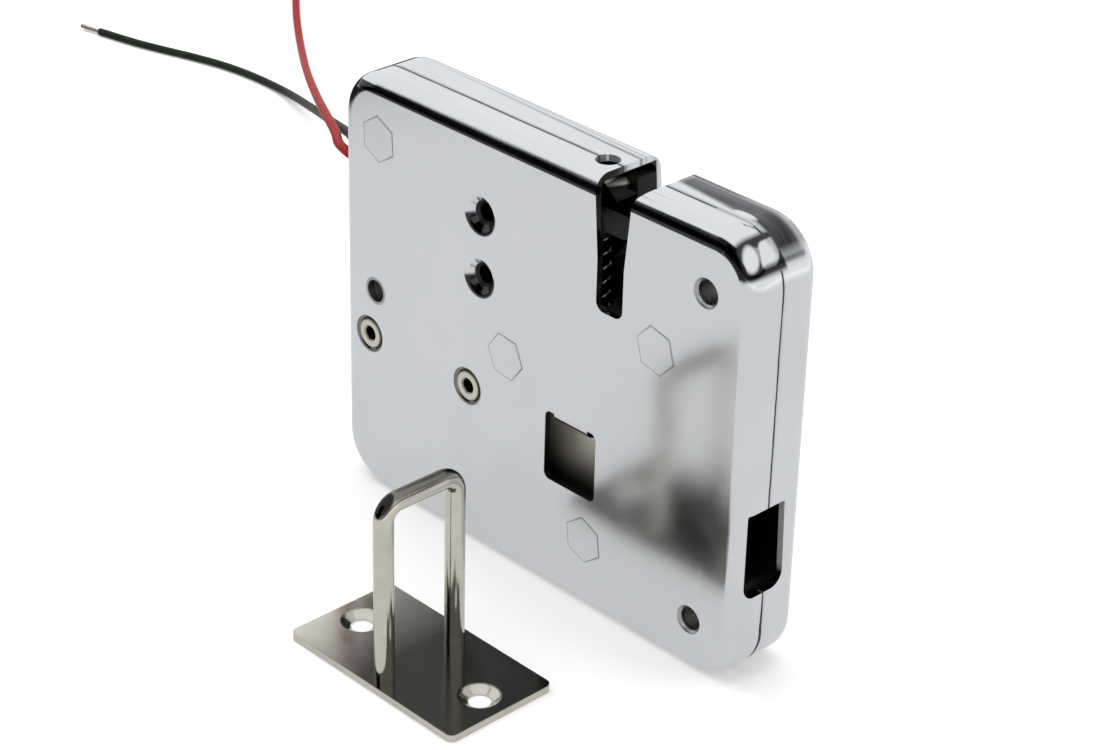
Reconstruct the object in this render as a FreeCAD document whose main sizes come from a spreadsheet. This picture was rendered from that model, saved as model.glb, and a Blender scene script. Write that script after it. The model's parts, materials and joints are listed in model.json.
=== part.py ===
import FreeCAD, Part
import math
import os
import re

import Sketcher
from FreeCAD import Placement, Rotation, Vector

# Electric cabinet lock with its striker and its two leads, in millimetres.
# +X runs along the lock to the right, +Z up, and the front face looks towards -Y.
# The origin is the middle of the lock's bottom edge, on which it stands.

SIZES = {
    # case: two drawn trays that meet at a seam
    "CaseWidth": 80.0,
    "CaseHeight": 66.0,
    "CaseDepth": 12.2,
    "SheetWall": 1.0,
    "CornerRadius": 7.5,
    "EdgeRadius": 2.45,
    "SeamForward": 1.04,
    # small sizes that many pieces share
    "CutMargin": 1.0,
    "SmallRadius": 0.3,
    "RunningGap": 0.05,
    "Clearance": 0.1,
    # mouth, open at the top edge and through both faces
    "MouthCentreX": 14.5,
    "MouthWidth": 4.9,
    "MouthDepth": 18.9,
    "MouthFlare": 1.0,
    "MouthStraight": 7.4,
    "MouthCornerRadius": 1.4,
    "MouthLipRadius": 2.0,
    # window in the front face, with the lug bent in at its top edge
    "WindowWidth": 9.9,
    "WindowHeight": 10.7,
    "WindowRadius": 1.0,
    "WindowPostOffset": 8.25,
    "WindowPostDrop": 4.8,
    "LugWidth": 6.4,
    "LugReach": 2.5,
    "LugBendRadius": 0.5,
    "LugDrop": 1.5,
    # opening in the right-hand narrow side
    "SideOpeningBottom": 13.9,
    "SideOpeningHeight": 13.1,
    "SideOpeningFront": 4.7,
    "SideOpeningRear": 2.1,
    "SideOpeningRadius": 1.8,
    "SideOpeningSlant": 0.5,
    # hole in the top edge, tongue of the rear tray
    "TopHoleRadius": 1.72,
    "TopHoleOffset": 6.1,
    "TongueWidth": 4.6,
    "TongueReach": 0.8,
    "TongueFlare": 0.8,
    # countersunk holes for a snap switch
    "SwitchHolePitch": 9.5,
    "SwitchHoleDrop": 13.34,
    "SwitchPostOffset": 5.5,
    "SwitchHoleRadius": 1.3,
    "SwitchDimpleRadius": 3.0,
    "SwitchDimpleDepth": 1.3,
    # mounting holes and their sleeves
    "MountHoleRadius": 1.7,
    "MountHoleLead": 0.45,
    "MountInsetRight": 8.5,
    "MountInsetTop": 9.1,
    "MountInsetBottom": 7.6,
    "MountInsetLeft": 7.3,
    "MountPostDrop": 0.3,
    "SleeveRadius": 2.7,
    # posts with hexagon heads, and the screws in them
    "HexFlats": 6.0,
    "PostInsetLeft": 8.1,
    "PostDropLeft": 9.25,
    "PostMouthOffset": 8.65,
    "PostMouthDrop": 20.7,
    "PostLowOffset": 16.3,
    "PostLowRise": 10.7,
    "PostRadius": 2.7,
    "PostThreadRadius": 1.3,
    "ScrewRadius": 1.25,
    "ScrewHeadRadius": 2.75,
    "ScrewLength": 6.5,
    "ScrewSocket": 1.0,
    # hollow rivets
    "RivetBore": 1.05,
    "RivetRadius": 1.6,
    "RivetRimRadius": 2.3,
    "RivetSinkRadius": 2.8,
    "RivetTailRadius": 2.1,
    "RivetInset": 5.9,
    "RivetPostOffset": 7.7,
    "RivetSetBack": 0.05,
    "RivetChamfer": 0.2,
    "RivetFlange": 0.35,
    "RivetTail": 0.45,
    # hook, which turns on a stepped pin
    "HookThickness": 3.8,
    "HookFront": 2.5,
    "HookPivotOffset": 9.7,
    "HookPivotDrop": 15.5,
    "HookPinRadius": 2.0,
    "HookPinBase": 2.9,
    "HookPinStep": 0.5,
    "HookPinGroove": 0.45,
    "HookClipRadius": 3.1,
    "HookClipThickness": 0.55,
    "HookTurn": 50.0,
    "HookHeelRadius": 14.5,
    "HookHubRadius": 7.3,
    "HookReach": 12.9,
    "HookFingerTop": 5.3,
    "HookThroatTop": 1.9,
    "HookThroatBottom": 1.4,
    "HookThroatStart": 7.2,
    "HookProngReach": 11.6,
    "HookProngThickness": 1.8,
    # pawl, which turns on the middle post
    "PawlThickness": 2.0,
    "PawlPostDrop": 17.6,
    "PawlPostOffset": 10.05,
    "PawlHubRadius": 4.9,
    "PawlNoseStart": 1.4,
    "PawlNoseWidth": 2.3,
    "PawlTailInset": 4.0,
    "PawlTailDrop": 3.9,
    "DriveArm": 7.8,
    "DrivePinRadius": 1.0,
    "SpacerRadius": 3.6,
    # solenoid
    "CoilAxisRear": 0.4,
    "BaseStripWidth": 6.6,
    "FrameHeight": 8.8,
    "FrameWall": 1.0,
    "EarGapLeft": 3.6,
    "EarGapRight": 2.55,
    "CoreLength": 4.2,
    "CoreStep": 0.75,
    "FlangeThickness": 0.8,
    "PlungerRadius": 2.25,
    "BobbinWall": 0.55,
    "CoilRadius": 4.1,
    "PlungerTravel": 2.5,
    "TongueThickness": 1.4,
    "TongueRear": 0.25,
    "ShoulderGap": 0.5,
    "PinSlotLow": 1.3,
    "PinSlotHigh": 1.75,
    # ejector and its spring
    "EjectorNose": 2.1,
    "EjectorTop": 5.7,
    "SpringWire": 0.35,
    "SpringPitch": 2.1,
    "SpringTurns": 7.0,
    "GuideWall": 1.0,
    "GuideDrop": 2.5,
    "GuideCheek": 2.65,
    "ChannelWidth": 2.85,
    "SpringInset": 1.8,
    # torsion springs of the hook and of the pawl
    "TorsionWire": 0.5,
    "TorsionTurns": 2.0,
    "HookSpringLeg": 8.0,
    "PawlSpringLeg": 6.0,
    # leads
    "LeadRadius": 0.75,
    "LeadSpacing": 2.6,
    "LeadInnerRun": 4.5,
    "LeadExitRear": 1.4,
    "LeadExitDrop": 17.9,
    "BushHalfWidth": 1.6,
    "BushFlange": 0.7,
    "TinnedLength": 5.0,
    "TinnedRadius": 0.45,
    # striker, which stands by itself in front of the lock
    "StrikerLength": 33.0,
    "StrikerWidth": 18.2,
    "StrikerPlate": 1.2,
    "StrikerX": 7.0,
    "StrikerY": -32.6,
    "StrikerCorner": 1.0,
    "StrikerHolePitch": 24.1,
    "StrikerHoleRadius": 1.6,
    "StrikerSinkRadius": 3.05,
    "LoopWire": 1.4,
    "LoopSpan": 12.6,
    "LoopHeight": 28.9,
    "LoopBend": 2.4,
    "WeldHeight": 0.9,
    "WeldWidth": 0.6,
}

doc = FreeCAD.newDocument("cabinet_lock")
sheet = doc.addObject("Spreadsheet::Sheet", "Sizes")
for row, (alias, value) in enumerate(SIZES.items(), start=1):
    sheet.set("A%d" % row, alias)
    sheet.set("B%d" % row, str(value))
    sheet.setAlias("B%d" % row, alias)
doc.recompute()

parts = []


def size(alias):
    """Number in the sheet's cell of that name."""
    return float(sheet.get(alias))


def bind(feature, formulas):
    """Ties properties of a feature to formulas in the names of the sheet."""
    for name, formula in formulas.items():
        feature.setExpression(name, re.sub(r"\b[A-Z]\w+", r"Sizes.\g<0>", formula))


def keep(feature, label):
    """Marks a finished sub-part and gives it its name."""
    feature.Label = label
    parts.append(feature)
    return feature


# driving places, worked out from the sizes
half_width = size("CaseWidth") / 2
half_depth = size("CaseDepth") / 2
inner_depth = half_depth - size("SheetWall")
top = size("CaseHeight")
wall = size("SheetWall")
seam = -size("SeamForward")
mouth_x = size("MouthCentreX")
mouth_bottom = top - size("MouthDepth")
pivot_x = mouth_x - size("HookPivotOffset")
pivot_z = top - size("HookPivotDrop")
pawl_x = pivot_x - size("PawlPostOffset")
pawl_z = pivot_z - size("PawlPostDrop")
coil_z = pawl_z - size("DriveArm")
coil_y = size("CoilAxisRear")
margin = size("CutMargin")
small = size("SmallRadius")
gap = size("RunningGap")
clear = size("Clearance")
window_left = pawl_x + size("WindowPostOffset")
window_top = pawl_z - size("WindowPostDrop")
window_right = window_left + size("WindowWidth")
window_bottom = window_top - size("WindowHeight")
# each post's place and the turn of its hexagon in degrees
posts = [
    (-half_width + size("PostInsetLeft"), top - size("PostDropLeft"), 3.2),
    (pawl_x, pawl_z, 23.4),
    (mouth_x + size("PostMouthOffset"), top - size("PostMouthDrop"), 16.3),
    (pawl_x + size("PostLowOffset"), size("PostLowRise"), 6.7),
]
mount_holes = [
    (half_width - size("MountInsetRight"), top - size("MountInsetTop")),
    (half_width - size("MountInsetRight"), size("MountInsetBottom")),
    (-half_width + size("MountInsetLeft"), pawl_z - size("MountPostDrop")),
]
rivets = [(-half_width + size("RivetInset"), coil_z), (pawl_x - size("RivetPostOffset"), coil_z)]
switch_x = pawl_x - size("SwitchPostOffset")
switch_top = top - size("SwitchHoleDrop")
switch_holes = [(switch_x, switch_top), (switch_x, switch_top - size("SwitchHolePitch"))]
hook_front = -size("HookFront")
hook_rear = hook_front + size("HookThickness")

# turns that lay a feature's own Z axis along the axes of the lock
REARWARD = Rotation(Vector(1, 0, 0), -90)
RIGHTWARD = Rotation(Vector(0, 1, 0), 90)


def plane(body, role):
    """Origin plane or axis of a body."""
    for feature in body.Origin.OriginFeatures:
        if feature.Role == role:
            return feature
    raise ValueError("no origin feature " + role)


def new_sketch(body, role, name, offset=0.0):
    """Sketch on an origin plane of its own body, moved along the plane's normal."""
    sketch = body.newObject("Sketcher::SketchObject", name)
    sketch.AttachmentSupport = [(plane(body, role), "")]
    sketch.MapMode = "FlatFace"
    sketch.AttachmentOffset = Placement(Vector(0, 0, offset), Rotation())
    return sketch


def corner_arc(before, corner, after, radius):
    """Tangent points and arc that round one corner of an outline."""
    here = Vector(corner[0], corner[1], 0)
    back = (Vector(before[0], before[1], 0) - here).normalize()
    ahead = (Vector(after[0], after[1], 0) - here).normalize()
    half = back.getAngle(ahead) / 2
    start = here + back * (radius / math.tan(half))
    end = here + ahead * (radius / math.tan(half))
    centre = here + (back + ahead).normalize() * (radius / math.sin(half))
    first = math.atan2(start.y - centre.y, start.x - centre.x)
    last = math.atan2(end.y - centre.y, end.x - centre.x)
    if math.sin(last - first) < 0:
        first, last = last, first
    circle = Part.Circle(centre, Vector(0, 0, 1), radius)
    return start, end, Part.ArcOfCircle(circle, first, last)


def add_outline(sketch, corners):
    """Closed outline of straight sides through (x, y, radius) corners, rounded where radius is over 0."""
    count = len(corners)
    starts = []
    ends = []
    for index, corner in enumerate(corners):
        if len(corner) > 2 and corner[2] > 0:
            start, end, arc = corner_arc(corners[index - 1], corner, corners[(index + 1) % count], corner[2])
            sketch.addGeometry(arc)
        else:
            start = end = Vector(corner[0], corner[1], 0)
        starts.append(start)
        ends.append(end)
    for index in range(count):
        a = ends[index]
        b = starts[(index + 1) % count]
        if a.distanceToPoint(b) > 1e-6:
            sketch.addGeometry(Part.LineSegment(a, b))


def add_circle(sketch, x, y, formula):
    """Circle whose radius is tied to a formula."""
    index = sketch.addGeometry(Part.Circle(Vector(x, y, 0), Vector(0, 0, 1), 1.0))
    constraint = sketch.addConstraint(Sketcher.Constraint("Radius", index, 1.0))
    bind(sketch, {"Constraints[%d]" % constraint: formula})


def rounded_box(left, low, right, high, radius):
    """Corners of an upright rectangle with equal radii."""
    return [(left, low, radius), (right, low, radius), (right, high, radius), (left, high, radius)]


def pad(body, sketch, formula, reverse=False, both=False):
    """Pad whose length is tied to a formula."""
    feature = body.newObject("PartDesign::Pad", "Pad")
    feature.Profile = sketch
    feature.Reversed = reverse
    feature.Midplane = both
    bind(feature, {"Length": formula})
    doc.recompute()
    return feature


def pocket(body, sketch, formula=None, reverse=False, both=False):
    """Pocket of a bound length, or through everything; it must take something away."""
    before = body.Shape.Volume
    feature = body.newObject("PartDesign::Pocket", "Pocket")
    feature.Profile = sketch
    feature.Reversed = reverse
    feature.Midplane = both
    if formula is None:
        feature.Type = "ThroughAll"
    else:
        bind(feature, {"Length": formula})
    doc.recompute()
    if body.Shape.Volume > before - 1e-6:
        raise ValueError("%s in %s cuts nothing" % (feature.Name, body.Name))
    return feature


def edges_at(feature, y):
    """Names of the edges of a feature that lie wholly in the plane at that y."""
    names = []
    for index, edge in enumerate(feature.Shape.Edges, start=1):
        box = edge.BoundBox
        if abs(box.YMin - y) < 1e-4 and abs(box.YMax - y) < 1e-4:
            names.append("Edge%d" % index)
    return names


def fillet(body, feature, names, formula):
    """Fillet of the named edges."""
    rounding = body.newObject("PartDesign::Fillet", "Fillet")
    rounding.Base = (feature, names)
    bind(rounding, {"Radius": formula})
    doc.recompute()
    return rounding


def cone_in_body(body, kind, x, y, z, radii, height):
    """Cone feature that opens along +Y from radii[0] at y to radii[1] at y plus height."""
    cone = body.newObject("PartDesign::" + kind, kind)
    cone.Radius1 = radii[0]
    cone.Radius2 = radii[1]
    cone.Height = height
    cone.Placement = Placement(Vector(x, y, z), REARWARD)
    doc.recompute()
    return cone


def turned(name, profile, place, turn):
    """Body turned about its own Z axis from a closed profile of (radius, height) corners."""
    body = doc.addObject("PartDesign::Body", name)
    sketch = new_sketch(body, "XZ_Plane", name + "_profile")
    add_outline(sketch, profile)
    revolution = body.newObject("PartDesign::Revolution", name + "_turned")
    revolution.Profile = sketch
    revolution.ReferenceAxis = (sketch, ["V_Axis"])
    revolution.Angle = 360.0
    doc.recompute()
    body.Placement = Placement(Vector(*place), turn)
    return body


def cylinder(name, radius, length, place, turn=REARWARD):
    """Cylinder of bound radius and length along +Y, unless turned otherwise."""
    feature = doc.addObject("Part::Cylinder", name)
    bind(feature, {"Radius": radius, "Height": length})
    feature.Placement = Placement(Vector(*place), turn)
    return feature


def cut(name, base, tool):
    """Base with the tool taken away."""
    feature = doc.addObject("Part::Cut", name)
    feature.Base = base
    feature.Tool = tool
    return feature


def fuse(name, shapes):
    """One solid from several."""
    feature = doc.addObject("Part::MultiFuse", name)
    feature.Shapes = shapes
    return feature


def group(name, members):
    """Several equal solids kept as one sub-part."""
    feature = doc.addObject("Part::Compound", name)
    feature.Links = members
    return keep(feature, name)


# Case trays
def mouth_outline(inset=0.0):
    """Outline of the mouth, from the bottom corners to above the top edge."""
    half = size("MouthWidth") / 2 - inset
    bottom = mouth_bottom + inset
    bend = bottom + size("MouthStraight")
    wide = half + size("MouthFlare")
    lip = size("MouthLipRadius")
    return [
        (mouth_x - half, bottom, size("MouthCornerRadius")),
        (mouth_x + half, bottom, size("MouthCornerRadius")),
        (mouth_x + half, bend, 0),
        (mouth_x + wide, top - wall, lip),
        (mouth_x + wide + lip, top + margin, 0),
        (mouth_x - wide, top + margin, 0),
        (mouth_x - half, bend, 0),
    ]


def side_outline():
    """Opening in the right-hand side, in Y and Z."""
    low = size("SideOpeningBottom")
    high = low + size("SideOpeningHeight")
    front = -size("SideOpeningFront")
    rear = size("SideOpeningRear")
    radius = size("SideOpeningRadius")
    low_rear = rear + size("SideOpeningSlant")
    return [(front, low, radius), (low_rear, low, 1.2 * radius), (rear, high, small), (front, high, small)]


def tray(name, front):
    """One drawn tray: outer form, hollow, and the openings that both trays share."""
    body = doc.addObject("PartDesign::Body", name)
    outer_face = -half_depth if front else half_depth
    inner_face = outer_face + (wall if front else -wall)
    outer = new_sketch(body, "XZ_Plane", name + "_outer", -seam)
    add_outline(outer, rounded_box(-half_width, 0, half_width, top, size("CornerRadius")))
    depth = "CaseDepth / 2 - SeamForward" if front else "CaseDepth / 2 + SeamForward"
    block = pad(body, outer, depth, reverse=not front)
    fillet(body, block, edges_at(block, outer_face), "EdgeRadius")
    inner = new_sketch(body, "XZ_Plane", name + "_inner", -seam)
    add_outline(
        inner,
        rounded_box(-half_width + wall, wall, half_width - wall, top - wall, size("CornerRadius") - wall),
    )
    hollow = pocket(body, inner, depth + " - SheetWall", reverse=front)
    fillet(body, hollow, edges_at(hollow, inner_face), "EdgeRadius - SheetWall")
    mouth = new_sketch(body, "XZ_Plane", name + "_mouth")
    add_outline(mouth, mouth_outline())
    pocket(body, mouth, both=True)
    side = new_sketch(body, "YZ_Plane", name + "_side", half_width + margin)
    add_outline(side, side_outline())
    pocket(body, side, "2 * SheetWall + CutMargin")
    hole = body.newObject("PartDesign::SubtractiveCylinder", name + "_top_hole")
    bind(hole, {"Radius": "TopHoleRadius", "Height": "SheetWall * 3"})
    hole.Placement = Placement(Vector(mouth_x - size("TopHoleOffset"), seam, top - 2 * wall), Rotation())
    mounts = new_sketch(body, "XZ_Plane", name + "_mounts")
    for x, z in mount_holes:
        add_circle(mounts, x, z, "MountHoleRadius")
    pocket(body, mounts, both=True)
    return body


def tongue_outline():
    """Place of the rear tray's tongue in the top edge, in X and Y."""
    half = size("TongueWidth") / 2
    foot = half + size("TongueFlare")
    reach = size("TongueReach")
    middle = half_width - size("MountInsetRight")
    return [
        (middle - foot, seam, 0),
        (middle + foot, seam, 0),
        (middle + half, seam - reach, 0.75 * reach),
        (middle - half, seam - reach, 0.75 * reach),
    ]


def front_shell():
    """Front tray with the window, the lug, the switch holes and the places of posts and rivets."""
    body = tray("front_shell", front=True)
    # sheet drawn in round the two switch holes
    depth = size("SwitchDimpleDepth")
    rim = size("SwitchDimpleRadius")
    hole = size("SwitchHoleRadius")
    for x, z in switch_holes:
        radii = (rim + 0.5 * wall, hole + 0.9 * wall)
        cone_in_body(body, "AdditiveCone", x, -inner_depth - 0.2 * wall, z, radii, depth + 0.1 * wall)
        cone_in_body(body, "SubtractiveCone", x, -half_depth, z, (rim, hole), depth)
    holes = new_sketch(body, "XZ_Plane", "switch_holes")
    for x, z in switch_holes:
        add_circle(holes, x, z, "SwitchHoleRadius")
    pocket(body, holes, both=True)
    window = new_sketch(body, "XZ_Plane", "window")
    radius = size("WindowRadius")
    add_outline(window, rounded_box(window_left, window_bottom, window_right, window_top, radius))
    pocket(body, window, both=True)
    # lug bent in from the window's top edge
    bend = size("LugBendRadius")
    drop = size("LugDrop")
    lug = new_sketch(body, "YZ_Plane", "lug", window_left + size("WindowWidth") / 2 - size("LugWidth") / 2)
    tip = -inner_depth + size("LugReach")
    root = window_top + 0.4 * wall
    add_outline(
        lug,
        [
            (-half_depth, root, 0),
            (-half_depth, window_top - drop, bend + wall),
            (tip, window_top - drop, 0),
            (tip, window_top - drop + wall, 0),
            (-inner_depth, window_top - drop + wall, bend),
            (-inner_depth, root, 0),
        ],
    )
    pad(body, lug, "LugWidth")
    hexagons = new_sketch(body, "XZ_Plane", "hexagons")
    reach = (size("HexFlats") / 2 + gap) / math.cos(math.pi / 6)
    for x, z, turn in posts:
        corners = []
        for step in range(6):
            angle = math.radians(90 + turn + 60 * step)
            corners.append((x + reach * math.cos(angle), z + reach * math.sin(angle)))
        add_outline(hexagons, corners)
    pocket(body, hexagons, both=True)
    for x, z in rivets:
        radii = (size("RivetSinkRadius"), size("RivetRadius"))
        cone_in_body(body, "SubtractiveCone", x, -half_depth, z, radii, wall)
    lead = size("MountHoleLead")
    hole = size("MountHoleRadius")
    for x, z in mount_holes[:2]:
        cone_in_body(body, "SubtractiveCone", x, -half_depth, z, (hole + lead, hole), lead)
    notch = new_sketch(body, "XY_Plane", "tongue_notch", top - 2 * wall)
    add_outline(notch, tongue_outline())
    pocket(body, notch, "SheetWall * 3", reverse=True)
    return keep(body, "front_shell")


def rear_shell():
    """Rear tray with the screws' dimples, the hook pin's hole and the way out for the leads."""
    body = tray("rear_shell", front=False)
    sink = size("ScrewHeadRadius")
    for x, z, turn in posts:
        cone_in_body(body, "SubtractiveCone", x, half_depth - wall, z, (sink - wall, sink), wall)
    pin_hole = new_sketch(body, "XZ_Plane", "pin_hole")
    add_circle(pin_hole, pivot_x, pivot_z, "HookPinRadius - HookPinStep")
    pocket(body, pin_hole, both=True)
    way_out = new_sketch(body, "YZ_Plane", "lead_way_out", -half_width - margin)
    add_outline(way_out, bush_outline(0.0))
    pocket(body, way_out, "2 * SheetWall + CutMargin", reverse=True)
    tongue = new_sketch(body, "XY_Plane", "tongue", top - wall)
    add_outline(tongue, tongue_outline())
    pad(body, tongue, "SheetWall")
    return keep(body, "rear_shell")


def bush_outline(grown):
    """Upright slot round the two leads, in Y and Z, grown all round by a length."""
    half = size("BushHalfWidth") + grown
    rise = size("LeadSpacing") / 2 + half
    middle = size("LeadExitRear")
    height = top - size("LeadExitDrop")
    return rounded_box(middle - half, height - rise, middle + half, height + rise, 0.98 * half)


# Posts, screws, sleeves and rivets
def mounting_sleeves():
    """Spacer tubes that take the load of the mounting screws."""
    members = []
    for index, (x, z) in enumerate(mount_holes):
        tube = cylinder("sleeve_%d" % index, "SleeveRadius", "CaseDepth - 2 * SheetWall", (x, -inner_depth, z))
        bore = cylinder("sleeve_bore_%d" % index, "MountHoleRadius", "CaseDepth", (x, -half_depth, z))
        members.append(cut("sleeve_cut_%d" % index, tube, bore))
    return group("mounting_sleeves", members)


def hex_posts():
    """Posts pressed into the front tray, each with its hexagon flush with the face."""
    members = []
    for index, (x, z, turn) in enumerate(posts):
        head = doc.addObject("Part::Prism", "post_head_%d" % index)
        head.Polygon = 6
        bind(head, {"Circumradius": "HexFlats / 2 / cos(30)", "Height": "SheetWall"})
        facing = REARWARD * Rotation(Vector(0, 0, 1), -90 - turn)
        head.Placement = Placement(Vector(x, -half_depth, z), facing)
        inside = "CaseDepth - 2 * SheetWall"
        barrel = cylinder("post_barrel_%d" % index, "PostRadius", inside, (x, -inner_depth, z))
        solid = fuse("post_solid_%d" % index, [head, barrel])
        deep = "ScrewLength + CutMargin"
        bore_from = half_depth - size("ScrewLength") - margin
        bore = cylinder("post_bore_%d" % index, "PostThreadRadius", deep, (x, bore_from, z))
        members.append(cut("post_cut_%d" % index, solid, bore))
    return group("hex_posts", members)


def case_screws():
    """Countersunk screws from the rear tray into the posts."""
    head = size("ScrewHeadRadius")
    tip = half_depth - size("ScrewLength")
    members = []
    for index, (x, z, turn) in enumerate(posts):
        cone = doc.addObject("Part::Cone", "screw_head_%d" % index)
        cone.Radius1 = head - wall
        cone.Radius2 = head
        bind(cone, {"Height": "SheetWall"})
        cone.Placement = Placement(Vector(x, half_depth - wall, z), REARWARD)
        rod = cylinder("screw_shank_%d" % index, "ScrewRadius", "ScrewLength", (x, tip, z))
        solid = fuse("screw_solid_%d" % index, [cone, rod])
        socket = doc.addObject("Part::Prism", "screw_socket_%d" % index)
        socket.Polygon = 6
        bind(socket, {"Circumradius": "ScrewSocket", "Height": "SheetWall"})
        socket.Placement = Placement(Vector(x, half_depth - 0.8 * wall, z), REARWARD)
        members.append(cut("screw_cut_%d" % index, solid, socket))
    return group("case_screws", members)


def rivet_set():
    """Hollow rivets through the front tray and the solenoid's base strip."""
    bore = size("RivetBore")
    radius = size("RivetRadius")
    rim = size("RivetRimRadius")
    tail = size("RivetTailRadius")
    strip = size("FrameWall")
    back = wall + strip
    set_back = size("RivetSetBack")
    chamfer = size("RivetChamfer")
    flange = set_back + size("RivetFlange")
    snug = 0.99 * radius
    tail_end = back + size("RivetTail")
    profile = [
        (bore, set_back + chamfer, 0),
        (bore + chamfer, set_back, 0),
        (rim, set_back, 0.7 * size("RivetFlange")),
        (rim, flange, 0),
        (snug, 0.8 * wall, 0),
        (snug, back, 0),
        (tail, back, 0),
        (tail, tail_end, 0),
        (bore, tail_end, 0),
    ]
    members = []
    for index, (x, z) in enumerate(rivets):
        members.append(turned("rivet_%d" % index, profile, (x, -half_depth, z), REARWARD))
    return group("rivets", members)


# Solenoid
ear_left = rivets[0][0] + size("EarGapLeft")
ear_right = rivets[1][0] - size("EarGapRight")
ear = size("FrameWall")
core_end = ear_left + size("CoreLength")
plunger_start = core_end + size("PlungerTravel") + 1.5 * clear


def magnet_frame():
    """Base strip with two ears, held by the rivets."""
    body = doc.addObject("PartDesign::Body", "magnet_frame")
    strip = new_sketch(body, "XZ_Plane", "strip", inner_depth)
    left = rivets[0][0] - size("EarGapLeft")
    right = rivets[1][0] + size("EarGapRight")
    half = size("BaseStripWidth") / 2
    add_outline(strip, rounded_box(left, coil_z - half, right, coil_z + half, half / 2))
    pad(body, strip, "FrameWall", reverse=True)
    high = size("FrameHeight") / 2
    reach = coil_y + size("CoilRadius") + small
    for number, x in enumerate((ear_left, ear_right - ear)):
        upright = new_sketch(body, "YZ_Plane", "ear_%d" % number, x)
        corners = [
            (-inner_depth, coil_z - high, 0),
            (reach, coil_z - high, 1.2 * ear),
            (reach, coil_z + high, 1.2 * ear),
            (-inner_depth, coil_z + high, 0),
        ]
        add_outline(upright, corners)
        pad(body, upright, "FrameWall")
    holes = new_sketch(body, "XZ_Plane", "strip_holes")
    for x, z in rivets:
        add_circle(holes, x, z, "RivetRadius")
    pocket(body, holes, both=True)
    staked = new_sketch(body, "YZ_Plane", "core_hole", ear_left + ear)
    add_circle(staked, coil_y, coil_z, "PlungerRadius - CoreStep")
    pocket(body, staked, "FrameWall")
    passing = new_sketch(body, "YZ_Plane", "plunger_hole", ear_right)
    add_circle(passing, coil_y, coil_z, "PlungerRadius + 1.5 * Clearance")
    pocket(body, passing, "FrameWall")
    return keep(body, "magnet_frame")


def coil_parts():
    """Bobbin, winding and fixed core, turned about the plunger's axis."""
    start = ear_left + ear
    length = ear_right - ear - start
    bore = size("PlungerRadius") + 0.8 * clear
    tube = bore + size("BobbinWall")
    flange = size("CoilRadius") + 1.5 * clear
    thick = size("FlangeThickness")
    bobbin = turned(
        "bobbin",
        [
            (bore, 0, 0),
            (flange, 0, 0),
            (flange, thick, 0),
            (tube, thick, 0),
            (tube, length - thick, 0),
            (flange, length - thick, 0),
            (flange, length, 0),
            (bore, length, 0),
        ],
        (start, coil_y, coil_z),
        RIGHTWARD,
    )
    keep(bobbin, "bobbin")
    winding = turned(
        "coil_winding",
        [
            (tube, thick, 0),
            (size("CoilRadius"), thick, 0),
            (size("CoilRadius"), length - thick, 0),
            (tube, length - thick, 0),
        ],
        (start, coil_y, coil_z),
        RIGHTWARD,
    )
    keep(winding, "coil_winding")
    neck = size("PlungerRadius") - size("CoreStep")
    core = turned(
        "fixed_core",
        [
            (0, 0, 0),
            (neck, 0, 0),
            (neck, ear, 0),
            (size("PlungerRadius"), ear, 0),
            (size("PlungerRadius"), core_end - ear_left, 0),
            (0, core_end - ear_left, 0),
        ],
        (ear_left, coil_y, coil_z),
        RIGHTWARD,
    )
    keep(core, "fixed_core")


def plunger():
    """Round iron plunger with a flat slotted tongue for the drive pin."""
    body = doc.addObject("PartDesign::Body", "plunger")
    shaft = new_sketch(body, "YZ_Plane", "plunger_round", plunger_start)
    add_circle(shaft, coil_y, coil_z, "PlungerRadius")
    shaft_end = ear_right + size("PlungerTravel") + size("ShoulderGap")
    round_bar = body.newObject("PartDesign::Pad", "round_bar")
    round_bar.Profile = shaft
    round_bar.Length = shaft_end - plunger_start
    doc.recompute()
    flat = new_sketch(body, "XZ_Plane", "plunger_tongue", -size("TongueRear"))
    slot_half = size("DrivePinRadius") + gap
    half = size("PlungerRadius") - gap
    tip = pawl_x + slot_half + margin
    add_outline(flat, rounded_box(shaft_end - small, coil_z - half, tip, coil_z + half, 2 * small))
    pad(body, flat, "TongueThickness", reverse=True)
    slot = new_sketch(body, "XZ_Plane", "pin_slot")
    low = coil_z - size("PinSlotLow")
    high = coil_z + size("PinSlotHigh")
    add_outline(slot, rounded_box(pawl_x - slot_half, low, pawl_x + slot_half, high, small))
    pocket(body, slot, both=True)
    return keep(body, "plunger")


# Pawl
pawl_front = -size("PawlThickness")


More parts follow.
